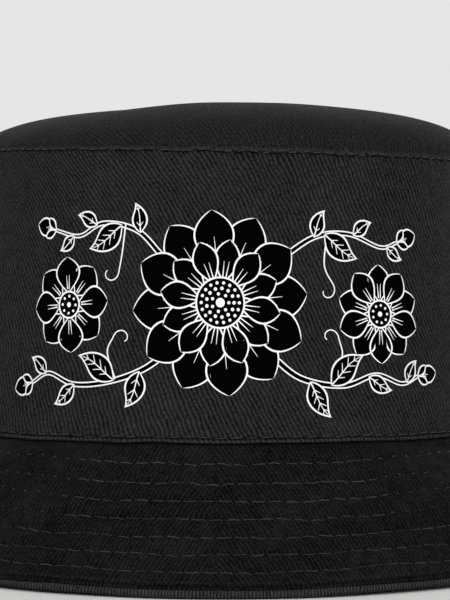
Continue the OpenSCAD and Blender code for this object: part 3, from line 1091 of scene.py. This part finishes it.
def sew(name, starts, finishes, surface, dull=0.0, **more):
    """Stitches from (turn, along) to (turn, along), on a surface given for turn, along and lift.

    dull is how far the thread's shine has gone.
    """
    starts, finishes = np.array(starts, float), np.array(finishes, float)
    count, rings = len(starts), len(ends_at)
    spots = starts[:, None] + (finishes - starts)[:, None] * ends_at[None, :, None]
    turn, along = spots[..., 0], spots[..., 1]
    lift = np.tile(thread_thick * end_rise, (count, 1))
    centre = place(turn, surface(turn, along, lift))
    up = unit(place(turn, surface(turn, along, lift + 0.1 * mm)) - centre)
    across = unit(np.cross(np.gradient(centre, axis=1), up))
    angle = np.arange(sides)[:, None] * 2 * math.pi / sides
    spokes = np.cos(angle) * up[:, :, None] + np.sin(angle) * across[:, :, None]
    points = centre[:, :, None] + thread_thick / 2 * end_thick[None, :, None, None] * spokes

    start = (np.arange(count) * rings * sides)[:, None, None]
    i, j = np.arange(rings - 1)[None, :, None], np.arange(sides)[None, None, :]
    a, b = start + i * sides + j, start + i * sides + (j + 1) % sides
    walls = np.stack([a, b, b + sides, a + sides], axis=-1)
    near = start[:, 0] + hexagon[:, [0, 3, 2, 1]].reshape(1, -1)
    far = start[:, 0] + (rings - 1) * sides + hexagon.reshape(1, -1)
    faces = np.concatenate([part.reshape(-1, 4) for part in (walls, near, far)])

    length = np.linalg.norm(centre[:, -1] - centre[:, 0], axis=-1)[:, None, None]
    apart = 0.013 * np.arange(count)[:, None, None]  # so that no two stitches look alike
    place_across = np.arange(sides)[None, None, :] * thread_thick * math.pi / sides
    flat = pair(ends_at[None, :, None] * length + apart, place_across).reshape(-1, 2)
    worn_and_painted_light = np.full(points.size // 3, -dull)
    return make_piece(name, points.reshape(-1, 3), faces, flat[faces], thread, worn_and_painted_light=worn_and_painted_light, **more)


# %% A row of them
def row_of_stitches(length, pitch, share, along, phase=0.0, seed=0, joined=0.0):
    """Start and end of each stitch in a row that closes round the hat.

    joined is the part of the stitches whose thread shows right up to the next one.
    """
    count = int(round(length / pitch))
    room = 2 * math.pi / count
    dice = np.random.default_rng(seed)
    middles = (np.arange(count) + 0.5 - phase) * room
    if callable(share):
        share = share(uneven(middles))
    half = share * room / 2 + np.zeros(count)
    first = middles - half + dice.normal(0, 0.03, count) * room
    last = middles + half + dice.normal(0, 0.03, count) * room
    runs_on = (dice.random(count) < joined) & (half > 0.3 * room)
    last[:-1] = np.where(runs_on[:-1], first[1:], last[:-1])
    first, last = uneven(first), uneven(last)
    slant = 0.1 * mm  # a lockstitch lies a little across its row
    return np.stack([first, along(first) - slant], axis=1), np.stack([last, along(last) + slant], axis=1)


# %% The surfaces that thread lies on
lip = 0.35 * mm  # the rounding of the tip's folded edge


def on_tip(turn, along, lift):
    """Just above the tip's lower edge."""
    height = seam_raise + along
    rounded = lip - np.sqrt(np.clip(lip**2 - np.clip(lip - along, 0, None) ** 2, 0, None))
    dome = seam[0] * (1 - (height / dome_rise) ** dome_square) ** (1 / dome_square)
    radius = dome + lift - rounded + tip_pucker * tip_puckers(turn) * np.exp(-0.5)
    return pair(radius, seam[1] + height)


def on_wall(turn, along, lift):
    """Up the wall's outer face, with its relief."""
    return wall_at(along, -(wall_relief(turn, along) + lift))


def on_band(turn, along, lift):
    """Up the inner face of the sweatband."""
    return wall_at(along, band_depth + band_t + lift)


def on_brim(side):
    """Down the upper face of the brim, with side 1, or down its underside, with side -1."""
    def surface(turn, along, lift):
        return brim_at(along, side * (ply + brim_relief(turn, along) + lift))
    return surface


# %% [markdown]
# ## The crown's rows
#
# One row of top stitching holds the tip's edge, one holds the wall's foot, and one holds the
# sweatband inside. Each wanders a little about its line. Where a row's first and last stitches
# meet, the machinist trims the thread, and a short tail of it shows on the tip seam. Three extra
# stitches draw that tail.

# %% Round the crown
seam_length, base_length = 2 * math.pi * seam[0], 2 * math.pi * base[0]
tip_line, base_line = ripple(32, 10, 70, 24), ripple(33, 10, 70, 24)
tail_turn = front + 0.475  # where the tip's row begins and ends
tail = np.array([  # both ends of each tail stitch, in mm round the seam and up from it
    ((0, 0.3), (-2.2, 2.3)),
    ((-2.2, 2.3), (-4.2, 3.2)),
    ((-1.6, 0.7), (2.4, 0.5)),
]) * mm
tail[..., 0] = tail_turn + tail[..., 0] / seam[0]

tip_firsts, tip_lasts = row_of_stitches(
    seam_length, 4.0 * mm, 0.66, lambda turn: 0.32 * mm + 0.16 * mm * tip_line(turn), seed=1)
sew("tip_stitches", np.concatenate([tip_firsts, tail[:, 0]]), np.concatenate([tip_lasts, tail[:, 1]]),
    on_tip, stands_for=["tip_stitch"], slot="thread")
base_ends = row_of_stitches(
    base_length, 4.7 * mm, 0.74, lambda turn: stitch_in + 0.16 * mm * base_line(turn), seed=2)
sew("base_stitches", *base_ends, on_wall, stands_for=["base_stitch"], slot="thread")
band_ends = row_of_stitches(base_length, 4.3 * mm, 0.75, lambda turn: stitch_in + 0 * turn, seed=3)
sew("sweatband_stitches", *band_ends, on_band, stands_for=["sweatband_stitch"], slot="thread")

# %% [markdown]
# ## The brim's rows
#
# A lockstitch shows on both faces of the brim, so we lay each row on top and underneath. In the
# photograph the upper rows nearly vanish at each side of the front: there the thread sinks into
# the cloth, and only dots are left of it. Shorter stitches draw those dots.

# %% Round the brim
sunk_rows = 4  # so many of the upper rows sink in
sunk_from, sunk_to = 0.43, 0.95  # between these turns from the middle of the front
dot_share = 0.24  # how much of a sunk stitch shows


def shown_share(k):
    """How much of each stitch in a row shows, at a turn."""
    def share(turn):
        off = np.abs((turn - front + math.pi) % (2 * math.pi) - math.pi)
        sunk = ease((off - sunk_from) / 0.08) * ease((sunk_to - off) / 0.1) * (k < sunk_rows)
        return row_share[k] * (1 - sunk) + dot_share * sunk
    return share


for k in range(row_count):
    ends = row_of_stitches(row_lengths[k], brim_stitch, shown_share(k), lambda turn: row_out(k, turn),
                           row_phase[k], 10 + k, 0.07)
    for name, side in (("top", 1), ("under", -1)):
        sew(f"brim_stitches_{k + 1}_{name}", *ends, on_brim(side), row_dull[k],
            stands_for=[f"brim_stitch_{k + 1}"], slot="thread")

# %% [markdown]
# ## The rows beside the side seams
#
# A side seam is pressed open and sewn down on both sides, so two short rows run up the wall
# there. They are straight, so two points for each stitch are enough.

# %% Up the side seams
for name, middle_turn in flanks:
    low, high = stitch_in + 2 * thread_d, step_foot
    count = int(round((high - low) / (4.0 * mm)))
    begin = low + (high - low) * (np.arange(count) + 0.15) / count
    finish = begin + (high - low) * 0.7 / count
    turns = [middle_turn + way * stitch_in / (base[0] * stretch_y) for way in (-1, 1)]
    firsts, lasts = (np.concatenate([pair(turn, up) for turn in turns]) for up in (begin, finish))
    sew(f"side_stitches_{name}", firsts, lasts, on_wall,
        stands_for=[f"side_stitch_{name}"], slot="thread")

# %% [markdown]
# ## Vent eyelets
#
# A hat of tight twill needs air, so two worked eyelets sit beside each side seam. An eyelet is
# a hole bound by close loops of thread. We punch the wall with a boolean, the quickest way to a
# clean round hole in a mesh, then lay a ring over both faces of the cloth, with a groove between
# each two loops.

# %% Where an eyelet sits
eyelet_rise = 55 * mm
eyelet_hole, eyelet_d, eyelet_t = 3.2 * mm, 7 * mm, 0.7 * mm
loops = 30


def wall_frame(turn, up):
    """A point on the wall's face, with the ways round, up and out there."""
    turn = np.array(turn)
    spot = place(turn, on_wall(turn, up, 0.0))
    out = unit(place(turn, on_wall(turn, up, 1 * mm)) - spot)
    upward = place(turn, on_wall(turn, up + 1 * mm, 0.0)) - spot
    upward = unit(upward - out * (upward @ out))
    return spot, np.cross(upward, out), upward, out


def punch(panel, spot, out):
    """Cuts a round hole through a wall panel."""
    bpy.ops.mesh.primitive_cylinder_add(
        vertices=32, radius=eyelet_hole / 2 + 0.5 * mm, depth=8 * mm, location=spot)
    tool = bpy.context.object
    tool.rotation_euler = (math.acos(out[2]), 0, math.atan2(out[1], out[0]) + math.pi / 2)
    cut = panel.modifiers.new("eyelet", "BOOLEAN")
    cut.operation = "DIFFERENCE"
    cut.object = tool
    cut.solver = "EXACT"
    bpy.context.view_layer.objects.active = panel
    bpy.ops.object.modifier_apply(modifier=cut.name)
    bpy.data.objects.remove(tool)


# %% Working the eyelets
def work_eyelet(name, spot, around, upward, out, stands_for):
    """A ring of thread loops on both faces of the cloth."""
    hole, rim, mid = eyelet_hole / 2, eyelet_d / 2, -layer / 2
    across = np.linspace(0, math.pi, 8)
    front_r = hole + (rim - hole) * (1 - np.cos(across)) / 2
    front_z = layer / 2 + lay + (eyelet_t - 0.1 * mm) * np.sin(across) ** 0.7
    radius = np.concatenate([front_r, front_r[::-1]])
    height = np.concatenate([front_z, -front_z[::-1]])
    steps, n = loops * 6, len(radius)
    angle = np.arange(steps)[:, None] * 2 * math.pi / steps
    loop = 0.5 + 0.5 * np.cos(angle * loops)
    uneven_rim = 0.12 * mm * np.random.default_rng(len(name)).normal(0, 1, loops).repeat(6)
    r = radius[None] + (uneven_rim[:, None] + 0.14 * mm * loop) * (radius[None] > 0.8 * rim)
    z = mid + height[None] + np.sign(height)[None] * 0.16 * mm * (loop - 1)
    spokes = np.cos(angle) * around + np.sin(angle) * upward
    points = (spot + r[..., None] * spokes[:, None] + z[..., None] * out).reshape(-1, 3)
    i, j = (index.ravel() for index in np.meshgrid(np.arange(steps), np.arange(n), indexing="ij"))
    next_i, next_j = (i + 1) % steps, (j + 1) % n
    faces = np.stack([i * n + j, i * n + next_j, next_i * n + next_j, next_i * n + j], axis=1)
    flat = np.stack([pair(j * 0.2 * mm, i * 0.1 * mm)] * 4, axis=1)
    make_piece(name, points, faces, flat, thread, stands_for, "thread")


for side_name, _ in flanks:
    for panel_name, _ in halves:
        node = f"eyelet_{side_name}_{panel_name}"
        low, high = corners(node)
        centre = (low + high) / 2
        turn = math.atan2(centre[1] / stretch_y, centre[0] / stretch_x)
        spot, around, upward, out = wall_frame(turn, eyelet_rise)
        punch(wall_panels[panel_name], spot, out)
        work_eyelet("worked_" + node, spot, around, upward, out, [node])

# %% [markdown]
# ## How the print is drawn
#
# The front carries a print in flat white lines with black filled shapes. Ours is a spray of
# flowers. It could be an image laid on the cloth, but meshes stay sharp at any size. It is drawn
# in millimetres on the flat cloth: the first number runs round the hat from the middle of the
# front, the second up from the brim seam. Every petal, leaf and stem is the same kind of shape,
# a spine with a width that changes along it. Black ink fills it, and a white line half a
# millimetre wide follows its edge. Shapes that overlap lie on different layers of ink.

# %% Spines and widths
ink_line = 0.58  # width of a white line, in mm
thinnest = 0.02  # half the width that a shape keeps at its tips
ink = {"white": [], "black": []}


def heading(angle):
    """The way that an angle points on the flat cloth."""
    return np.array([math.cos(angle), math.sin(angle)])


def smooth_curve(knots, steps=24):
    """A soft curve through its knots."""
    knots = np.array(knots, float)
    knots = np.concatenate([[2 * knots[0] - knots[1]], knots, [2 * knots[-1] - knots[-2]]])
    parts = []
    for p0, p1, p2, p3 in zip(knots[:-3], knots[1:-2], knots[2:-1], knots[3:]):
        t = np.linspace(0, 1, steps)[:-1, None]
        bent = (2 * p0 - 5 * p1 + 4 * p2 - p3) * t**2 + (3 * p1 - p0 - 3 * p2 + p3) * t**3
        parts.append(0.5 * (2 * p1 + (p2 - p0) * t + bent))
    return np.concatenate(parts + [knots[-2:-1]])


def sides_of(spine, half):
    """The two edges that lie half a width away from a spine."""
    run = unit(np.gradient(spine, axis=0))
    normal = pair(-run[:, 1], run[:, 0])
    return spine + normal * half[:, None], spine - normal * half[:, None]


# %% Fills, lines and rounds
def ribbon(ink_name, level, left, right):
    """Ink between two edges, in strips narrow enough to follow the wall."""
    width = np.max(np.linalg.norm(left - right, axis=1))
    strips = max(1, int(math.ceil(width / 3)))
    share = np.linspace(0, 1, strips + 1)[:, None, None]
    grid = left[None] * (1 - share) + right[None] * share
    quads = np.stack([grid[:-1, :-1], grid[:-1, 1:], grid[1:, 1:], grid[1:, :-1]], axis=-2)
    ink[ink_name].append((quads.reshape(-1, 4, 2), level))


def shape(spine, half, level, line_width=ink_line):
    """A filled shape with its outline."""
    left, right = sides_of(spine, half)
    inner_left, inner_right = sides_of(spine, np.maximum(half - line_width, 0))
    ribbon("black", level, left, right)
    ribbon("white", level + 0.2, left, inner_left)
    ribbon("white", level + 0.2, inner_right, right)


def stroke(spine, level, start, end):
    """A single white line that may taper."""
    ribbon("white", level + 0.2, *sides_of(spine, np.linspace(start, end, len(spine)) / 2))


def disc(ink_name, centre, radius, level, hole=0.0):
    """A round of ink, with a hole if it is a ring."""
    angle = np.linspace(0, 2 * math.pi, 37)
    edge = pair(np.cos(angle), np.sin(angle))
    ribbon(ink_name, level, centre + edge * radius, centre + edge * hole)


# %% [markdown]
# ## Petals, leaves and stems
#
# These are the motifs that any plant drawing is made of. A petal is a spine with a blunt, full
# width, a leaf a bent spine with a pointed one, and a tendril a line that curls up. Each takes
# only its place, its heading and its size, so a whole spray needs a few short calls.

# %% Petals and leaves
def petal(centre, direction, near, far, width, level, blunt=0.75, veins=2):
    """A petal that points away from a centre."""
    t = np.linspace(0, 1, 26)
    spine = np.array(centre) + heading(direction) * (near + (far - near) * t)[:, None]
    half = width / 2 * np.sin(math.pi * t**1.25) ** blunt
    shape(spine, np.maximum(half, thinnest), level)
    for v in range(veins):
        place_off = v - (veins - 1) / 2
        reach = near + (far - near) * np.linspace(0.12, 0.55 - 0.1 * abs(place_off), 8)
        vein = heading(direction + 0.13 * place_off) * reach[:, None]
        stroke(np.array(centre) + vein, level, 0.42, 0.12)


def leaf(foot, direction, length, width, level, bend=0.15):
    """A pointed leaf with a rib and slanting veins."""
    t = np.linspace(0, 1, 28)
    way = heading(direction)
    bowed = (bend * length * np.sin(math.pi * t) * t)[:, None] * np.array([-way[1], way[0]])
    spine = np.array(foot) + way * (length * t)[:, None] + bowed
    half = width / 2 * np.sin(math.pi * t**0.8) ** 1.1
    shape(spine, np.maximum(half, thinnest), level)
    stroke(spine[1:-3], level, 0.45, 0.2)
    count = max(2, int(length / 3.2))
    for i in np.linspace(6, 20, count).astype(int):
        run = unit(spine[i + 1] - spine[i - 1])
        for side in (-1, 1):
            vein = run * 0.75 + side * np.array([-run[1], run[0]]) * 0.66
            stroke(spine[i] + vein * np.linspace(0, 0.75 * half[i], 5)[:, None], level, 0.32, 0.18)


# %% Stems, their leaves and tendrils
def stem(knots, level, start, end):
    """A stem that thins from start to end; its spine is given back for what grows on it."""
    spine = smooth_curve(knots)
    t = np.linspace(0, 1, len(spine))
    shape(spine, (start + (end - start) * t) / 2, level, line_width=0.42)
    return spine


def side_leaves(spine, picks):
    """Leaves on either side of a stem: (where, side, length, width)."""
    for at, side, length, width in picks:
        at = int(at * (len(spine) - 3)) + 1
        run = spine[at + 1] - spine[at - 1]
        leaf(spine[at], math.atan2(run[1], run[0]) + side * 0.75, length, width, 1, 0.12 * side)


def tendril(knots, curl, level):
    """A thin line that ends in a spiral."""
    knots = np.array(knots, float)
    way = math.atan2(*(knots[-1] - knots[-2])[::-1])
    t = np.linspace(0, 1, 40)[1:]
    turn = way + curl * 4.2 * t
    steps = pair(np.cos(turn), np.sin(turn)) * (0.34 * (1 - 0.75 * t))[:, None]
    tail = knots[-1] + np.cumsum(steps, axis=0)
    stroke(np.concatenate([smooth_curve(knots), tail]), level, 0.5, 0.3)


# %% Flowers and buds
def ring_of_petals(centre, near, far, petals, width, level, start, veins):
    """Petals round a centre. Every second one lies over its two neighbours."""
    for i in range(petals):
        direction = start + 2 * math.pi * i / petals
        petal(centre, direction, near, far, width, level + 0.5 * (i % 2), veins=veins)


def dotted_middle(centre, radius, rings, level):
    """A dark disc with a rim, a white heart and rings of dots: (count, reach, size)."""
    centre = np.array(centre, float)
    disc("black", centre, radius, level)
    disc("white", centre, radius, level + 0.2, radius - ink_line)
    disc("white", centre, 0.18 * radius, level + 0.2)
    for count, reach, size in rings:
        for i in range(count):
            spot = centre + reach * radius * heading(2 * math.pi * i / count)
            disc("white", spot, size, level + 0.2)


def bud(foot, direction):
    """A closed bud held by two small sepals."""
    petal(foot, direction, 0.0, 9.0, 6.0, 2, veins=3)
    for side in (-0.62, 0.62):
        petal(foot, direction + side, -0.3, 5.2, 3.0, 2.5, veins=0)


# %% [markdown]
# ## The spray
#
# One large bloom sits in the middle, a smaller flower at each side, and four stems run out to
# buds. The two sides answer each other without being mirror images, as in any plant drawn by
# hand. The order of the calls doesn't matter: the level of each shape says what lies over what.

# %% The bloom in the middle
bloom = (-1.5, 42.5)
ring_of_petals(bloom, 10.0, 28.4, 12, 13.4, 4, 0.1, 3)
ring_of_petals(bloom, 6.0, 19.5, 12, 8.6, 5, 0.36, 2)
dotted_middle(bloom, 8.0, ((18, 0.76, 0.5), (13, 0.55, 0.55), (7, 0.34, 0.5)), 6)

# %% The wearer's left side
left_low = stem([(14, 27), (24, 19.5), (38, 17), (50, 20), (60, 17), (67, 19)], 0, 2.2, 1.3)
side_leaves(left_low, ((0.24, -1, 13, 7), (0.34, 1, 15, 8), (0.55, -1, 10, 5.5), (0.86, 1, 8.5, 5)))
left_high = stem([(18, 56), (30, 63), (42, 64), (54, 60), (61, 61.5)], 0, 2.0, 1.2)
side_leaves(left_high, ((0.24, 1, 9.5, 5.5), (0.32, -1, 14, 8), (0.54, 1, 8.5, 5), (0.84, -1, 7.5, 4.5)))
ring_of_petals((52.5, 39), 3.6, 15.6, 10, 9.0, 2, 0.3, 2)
dotted_middle((52.5, 39), 4.6, ((9, 0.6, 0.42),), 3)

# %% The wearer's right side
right_low = stem([(-16, 29), (-26, 22), (-38, 18), (-50, 17), (-60, 20), (-67, 17)], 0, 2.2, 1.3)
side_leaves(right_low, ((0.22, 1, 12, 7), (0.36, -1, 15, 8), (0.6, 1, 10, 5.5), (0.84, -1, 8.5, 5)))
right_high = stem([(-20, 56), (-29, 64), (-41, 66), (-50, 62), (-60, 63.5)], 0, 2.0, 1.2)
side_leaves(right_high, ((0.22, -1, 9.5, 5.5), (0.36, 1, 14, 8), (0.56, -1, 8.5, 5), (0.82, 1, 7.5, 4.5)))
ring_of_petals((-53, 41), 3.4, 14.6, 8, 10.0, 2, 0.9, 2)
dotted_middle((-53, 41), 4.3, ((8, 0.6, 0.42),), 3)

# %% Buds and tendrils
bud_headings = (0.1, 0.3, math.pi + 0.3, math.pi - 0.2)
for spine, direction in zip((left_low, left_high, right_low, right_high), bud_headings):
    bud(spine[-1], direction)

tendrils = (  # the knots, and the way that the end curls
    ([(34, 18), (38, 26), (37, 32)], 1),
    ([(34, 63), (33, 54), (36, 48)], -1),
    ([(-35, 19), (-38, 27), (-36, 32)], -1),
    ([(-33, 66), (-34, 57), (-35, 51)], -1),
)
for knots, curl in tendrils:
    tendril(knots, curl, 0)
print("ink strips:", {name: len(shapes) for name, shapes in ink.items()})


# %% [markdown]
# ## Printing ink
#
# Water-based ink dries into the twill as a thin, matt film, so the ribs still show through it as
# a faint relief, and it has nearly no gloss. That is what keeps a print from looking like a
# sticker. A mask in the twill's own nodes could colour it too, but an ink of its own is simpler
# to read. Its white is a little warm and not quite full, and its black is deeper than the cloth's.

# %% Ink as a material
def printing_ink(name, code, rough):
    """Water-based printing ink on twill, in one colour."""
    made = bpy.data.materials.new(name)
    tree = empty_tree(made)
    spot = add(tree, "UVMap", {}, uv_map="cloth")
    bends = add(tree, "TexNoise", {"Vector": spot, "Scale": 1 / (6 * mm), "Detail": 2.0})
    bends = add(tree, "Math", {0: bends, 1: 0.9}, operation="MULTIPLY")
    ribs = stripes(tree, spot, (0.903, 0.431), 1.33 * mm, bends)
    bump = add(tree, "Bump", {"Height": ribs, "Distance": 0.04 * mm})
    surface = add(tree, "BsdfPrincipled", {
        "Base Color": colour(code), "Normal": bump, "Metallic": 0.0, "Roughness": rough, "IOR": 1.5,
        "Specular IOR Level": 0.02,
    })
    add(tree, "OutputMaterial", {"Surface": surface})
    return made


inks = {
    "white": printing_ink("water_ink_white", "#f9f9f7", 0.8),
    "black": printing_ink("water_ink_black", "#020202", 1.0),
}

# %% Laying the ink on the wall
film = 0.06 * mm  # the lowest ink over the cloth
level_step = 0.03 * mm  # and from one level of ink to the next
for name, shapes in ink.items():
    quads = np.concatenate([quad for quad, _ in shapes])
    lift = np.concatenate([np.full((len(quad), 4), level) for quad, level in shapes])
    lift = lift * level_step + film
    turn = uneven(even(front) + quads[..., 0] * mm / base[0])
    up = quads[..., 1] * mm
    points = place(turn, on_wall(turn, up, lift))
    outward = place(turn, on_wall(turn, up, lift + 1 * mm)) - points
    facing = np.cross(points[:, 1] - points[:, 0], points[:, 2] - points[:, 0])
    flipped = np.sum(facing * outward[:, 0], axis=1) < 0
    spread = flat_wall(turn, up)
    points[flipped], spread[flipped] = points[flipped][:, ::-1], spread[flipped][:, ::-1]
    faces = np.arange(len(points) * 4).reshape(-1, 4)
    piece = mesh_object("print_" + name, points.reshape(-1, 3), faces, inks[name], spread)
    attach(piece, "root")
    print("print_" + name, len(points), "faces")

# %% [markdown]
# ## The camera
#
# The photograph is a close view of the front, taken from far away with a long lens: the rows of
# the brim hardly bend. A short lens close by would show the same width, but would bow the brim
# and shrink the sides. So the camera stands back and looks down very slightly.

# %% Camera
camera_back = 0.855
camera_high = 0.1081
camera_tilt = 1.724  # degrees below level
camera_data = bpy.data.cameras.new("camera")
camera_data.lens = 150.6
camera_data.sensor_width = 36
camera_data.clip_start = 0.05
camera = put_in("camera", camera_data)
camera.location = (0, -camera_back, camera_high)
camera.rotation_euler = (math.radians(90 - camera_tilt), 0, 0)
bpy.context.scene.camera = camera

# %% [markdown]
# ## The floor and the backdrop
#
# The hat stands on a plain floor of painted plaster, matt and pale, which takes its shadow. The
# world lights the hat softly from all round. The camera sees another, paler world in its place, so
# that the backdrop can be bright without putting more light on black cloth.

# %% Floor
half_floor = 30.0
floor_made = bpy.data.materials.new("painted_plaster_floor")
floor_tree = empty_tree(floor_made)
floor_surface = add(floor_tree, "BsdfPrincipled", {
    "Base Color": colour("#dededb"), "Metallic": 0.0, "Roughness": 1.0, "IOR": 1.5,
    "Specular IOR Level": 0.0,
})
add(floor_tree, "OutputMaterial", {"Surface": floor_surface})
floor_points = half_floor * np.array([(-1, -1, 0), (1, -1, 0), (1, 1, 0), (-1, 1, 0)])
floor = mesh_object("floor", floor_points, np.array([(0, 1, 2, 3)]), floor_made)

# %% Backdrop
world = bpy.data.worlds.new("studio")
tree = empty_tree(world)
by_camera = add(tree, "LightPath", {}, "Is Camera Ray")
path = by_camera.node.outputs
seen = add(tree, "Math", {0: by_camera, 1: path["Is Glossy Ray"]}, operation="MAXIMUM")
seen = add(tree, "Math", {0: seen, 1: path["Is Transmission Ray"]}, operation="MAXIMUM")
soft = add(tree, "Background", {"Color": colour("#ffffff"), "Strength": 0.37})
pale = add(tree, "Background", {"Color": colour("#e6e6e4"), "Strength": 1.0})
both = add(tree, "MixShader", {0: seen, 1: soft, 2: pale})
add(tree, "OutputWorld", {"Surface": both})
bpy.context.scene.world = world

# %% [markdown]
# ## The light
#
# Twill shows its ribs only when light grazes it, yet the photograph has no hard shadow. Distant
# lamps as wide as a window give both: a key from above the camera, a low fill, one from behind at
# each side to draw the edges, and a very wide one from above for the tip. With the world they
# light the hat's front at a strength of about 1, and the Standard view changes no colour, so a
# colour shows about as it is written.

# %% Lamps
lamps = (  # azimuth from the front, height, strength, and width as seen from the hat, in degrees
    ("key", -1, 34, 1.47, 26),
    ("fill", 10, 16, 0.6, 50),
    ("back_left", 150, 13, 1.0, 40),
    ("back_right", -150, 12, 1.0, 40),
    ("top", 0, 88, 0.45, 80),
)
for name, azimuth, height, strength, width in lamps:
    lamp = bpy.data.lights.new(name, "SUN")
    lamp.energy = strength
    lamp.angle = math.radians(width)
    put_in(name, lamp).rotation_euler = (math.radians(90 - height), 0, math.radians(azimuth))
bpy.context.scene.view_settings.view_transform = "Standard"
print("lamps:", len(lamps), "with", round(sum(lamp[3] for lamp in lamps), 2), "in all")
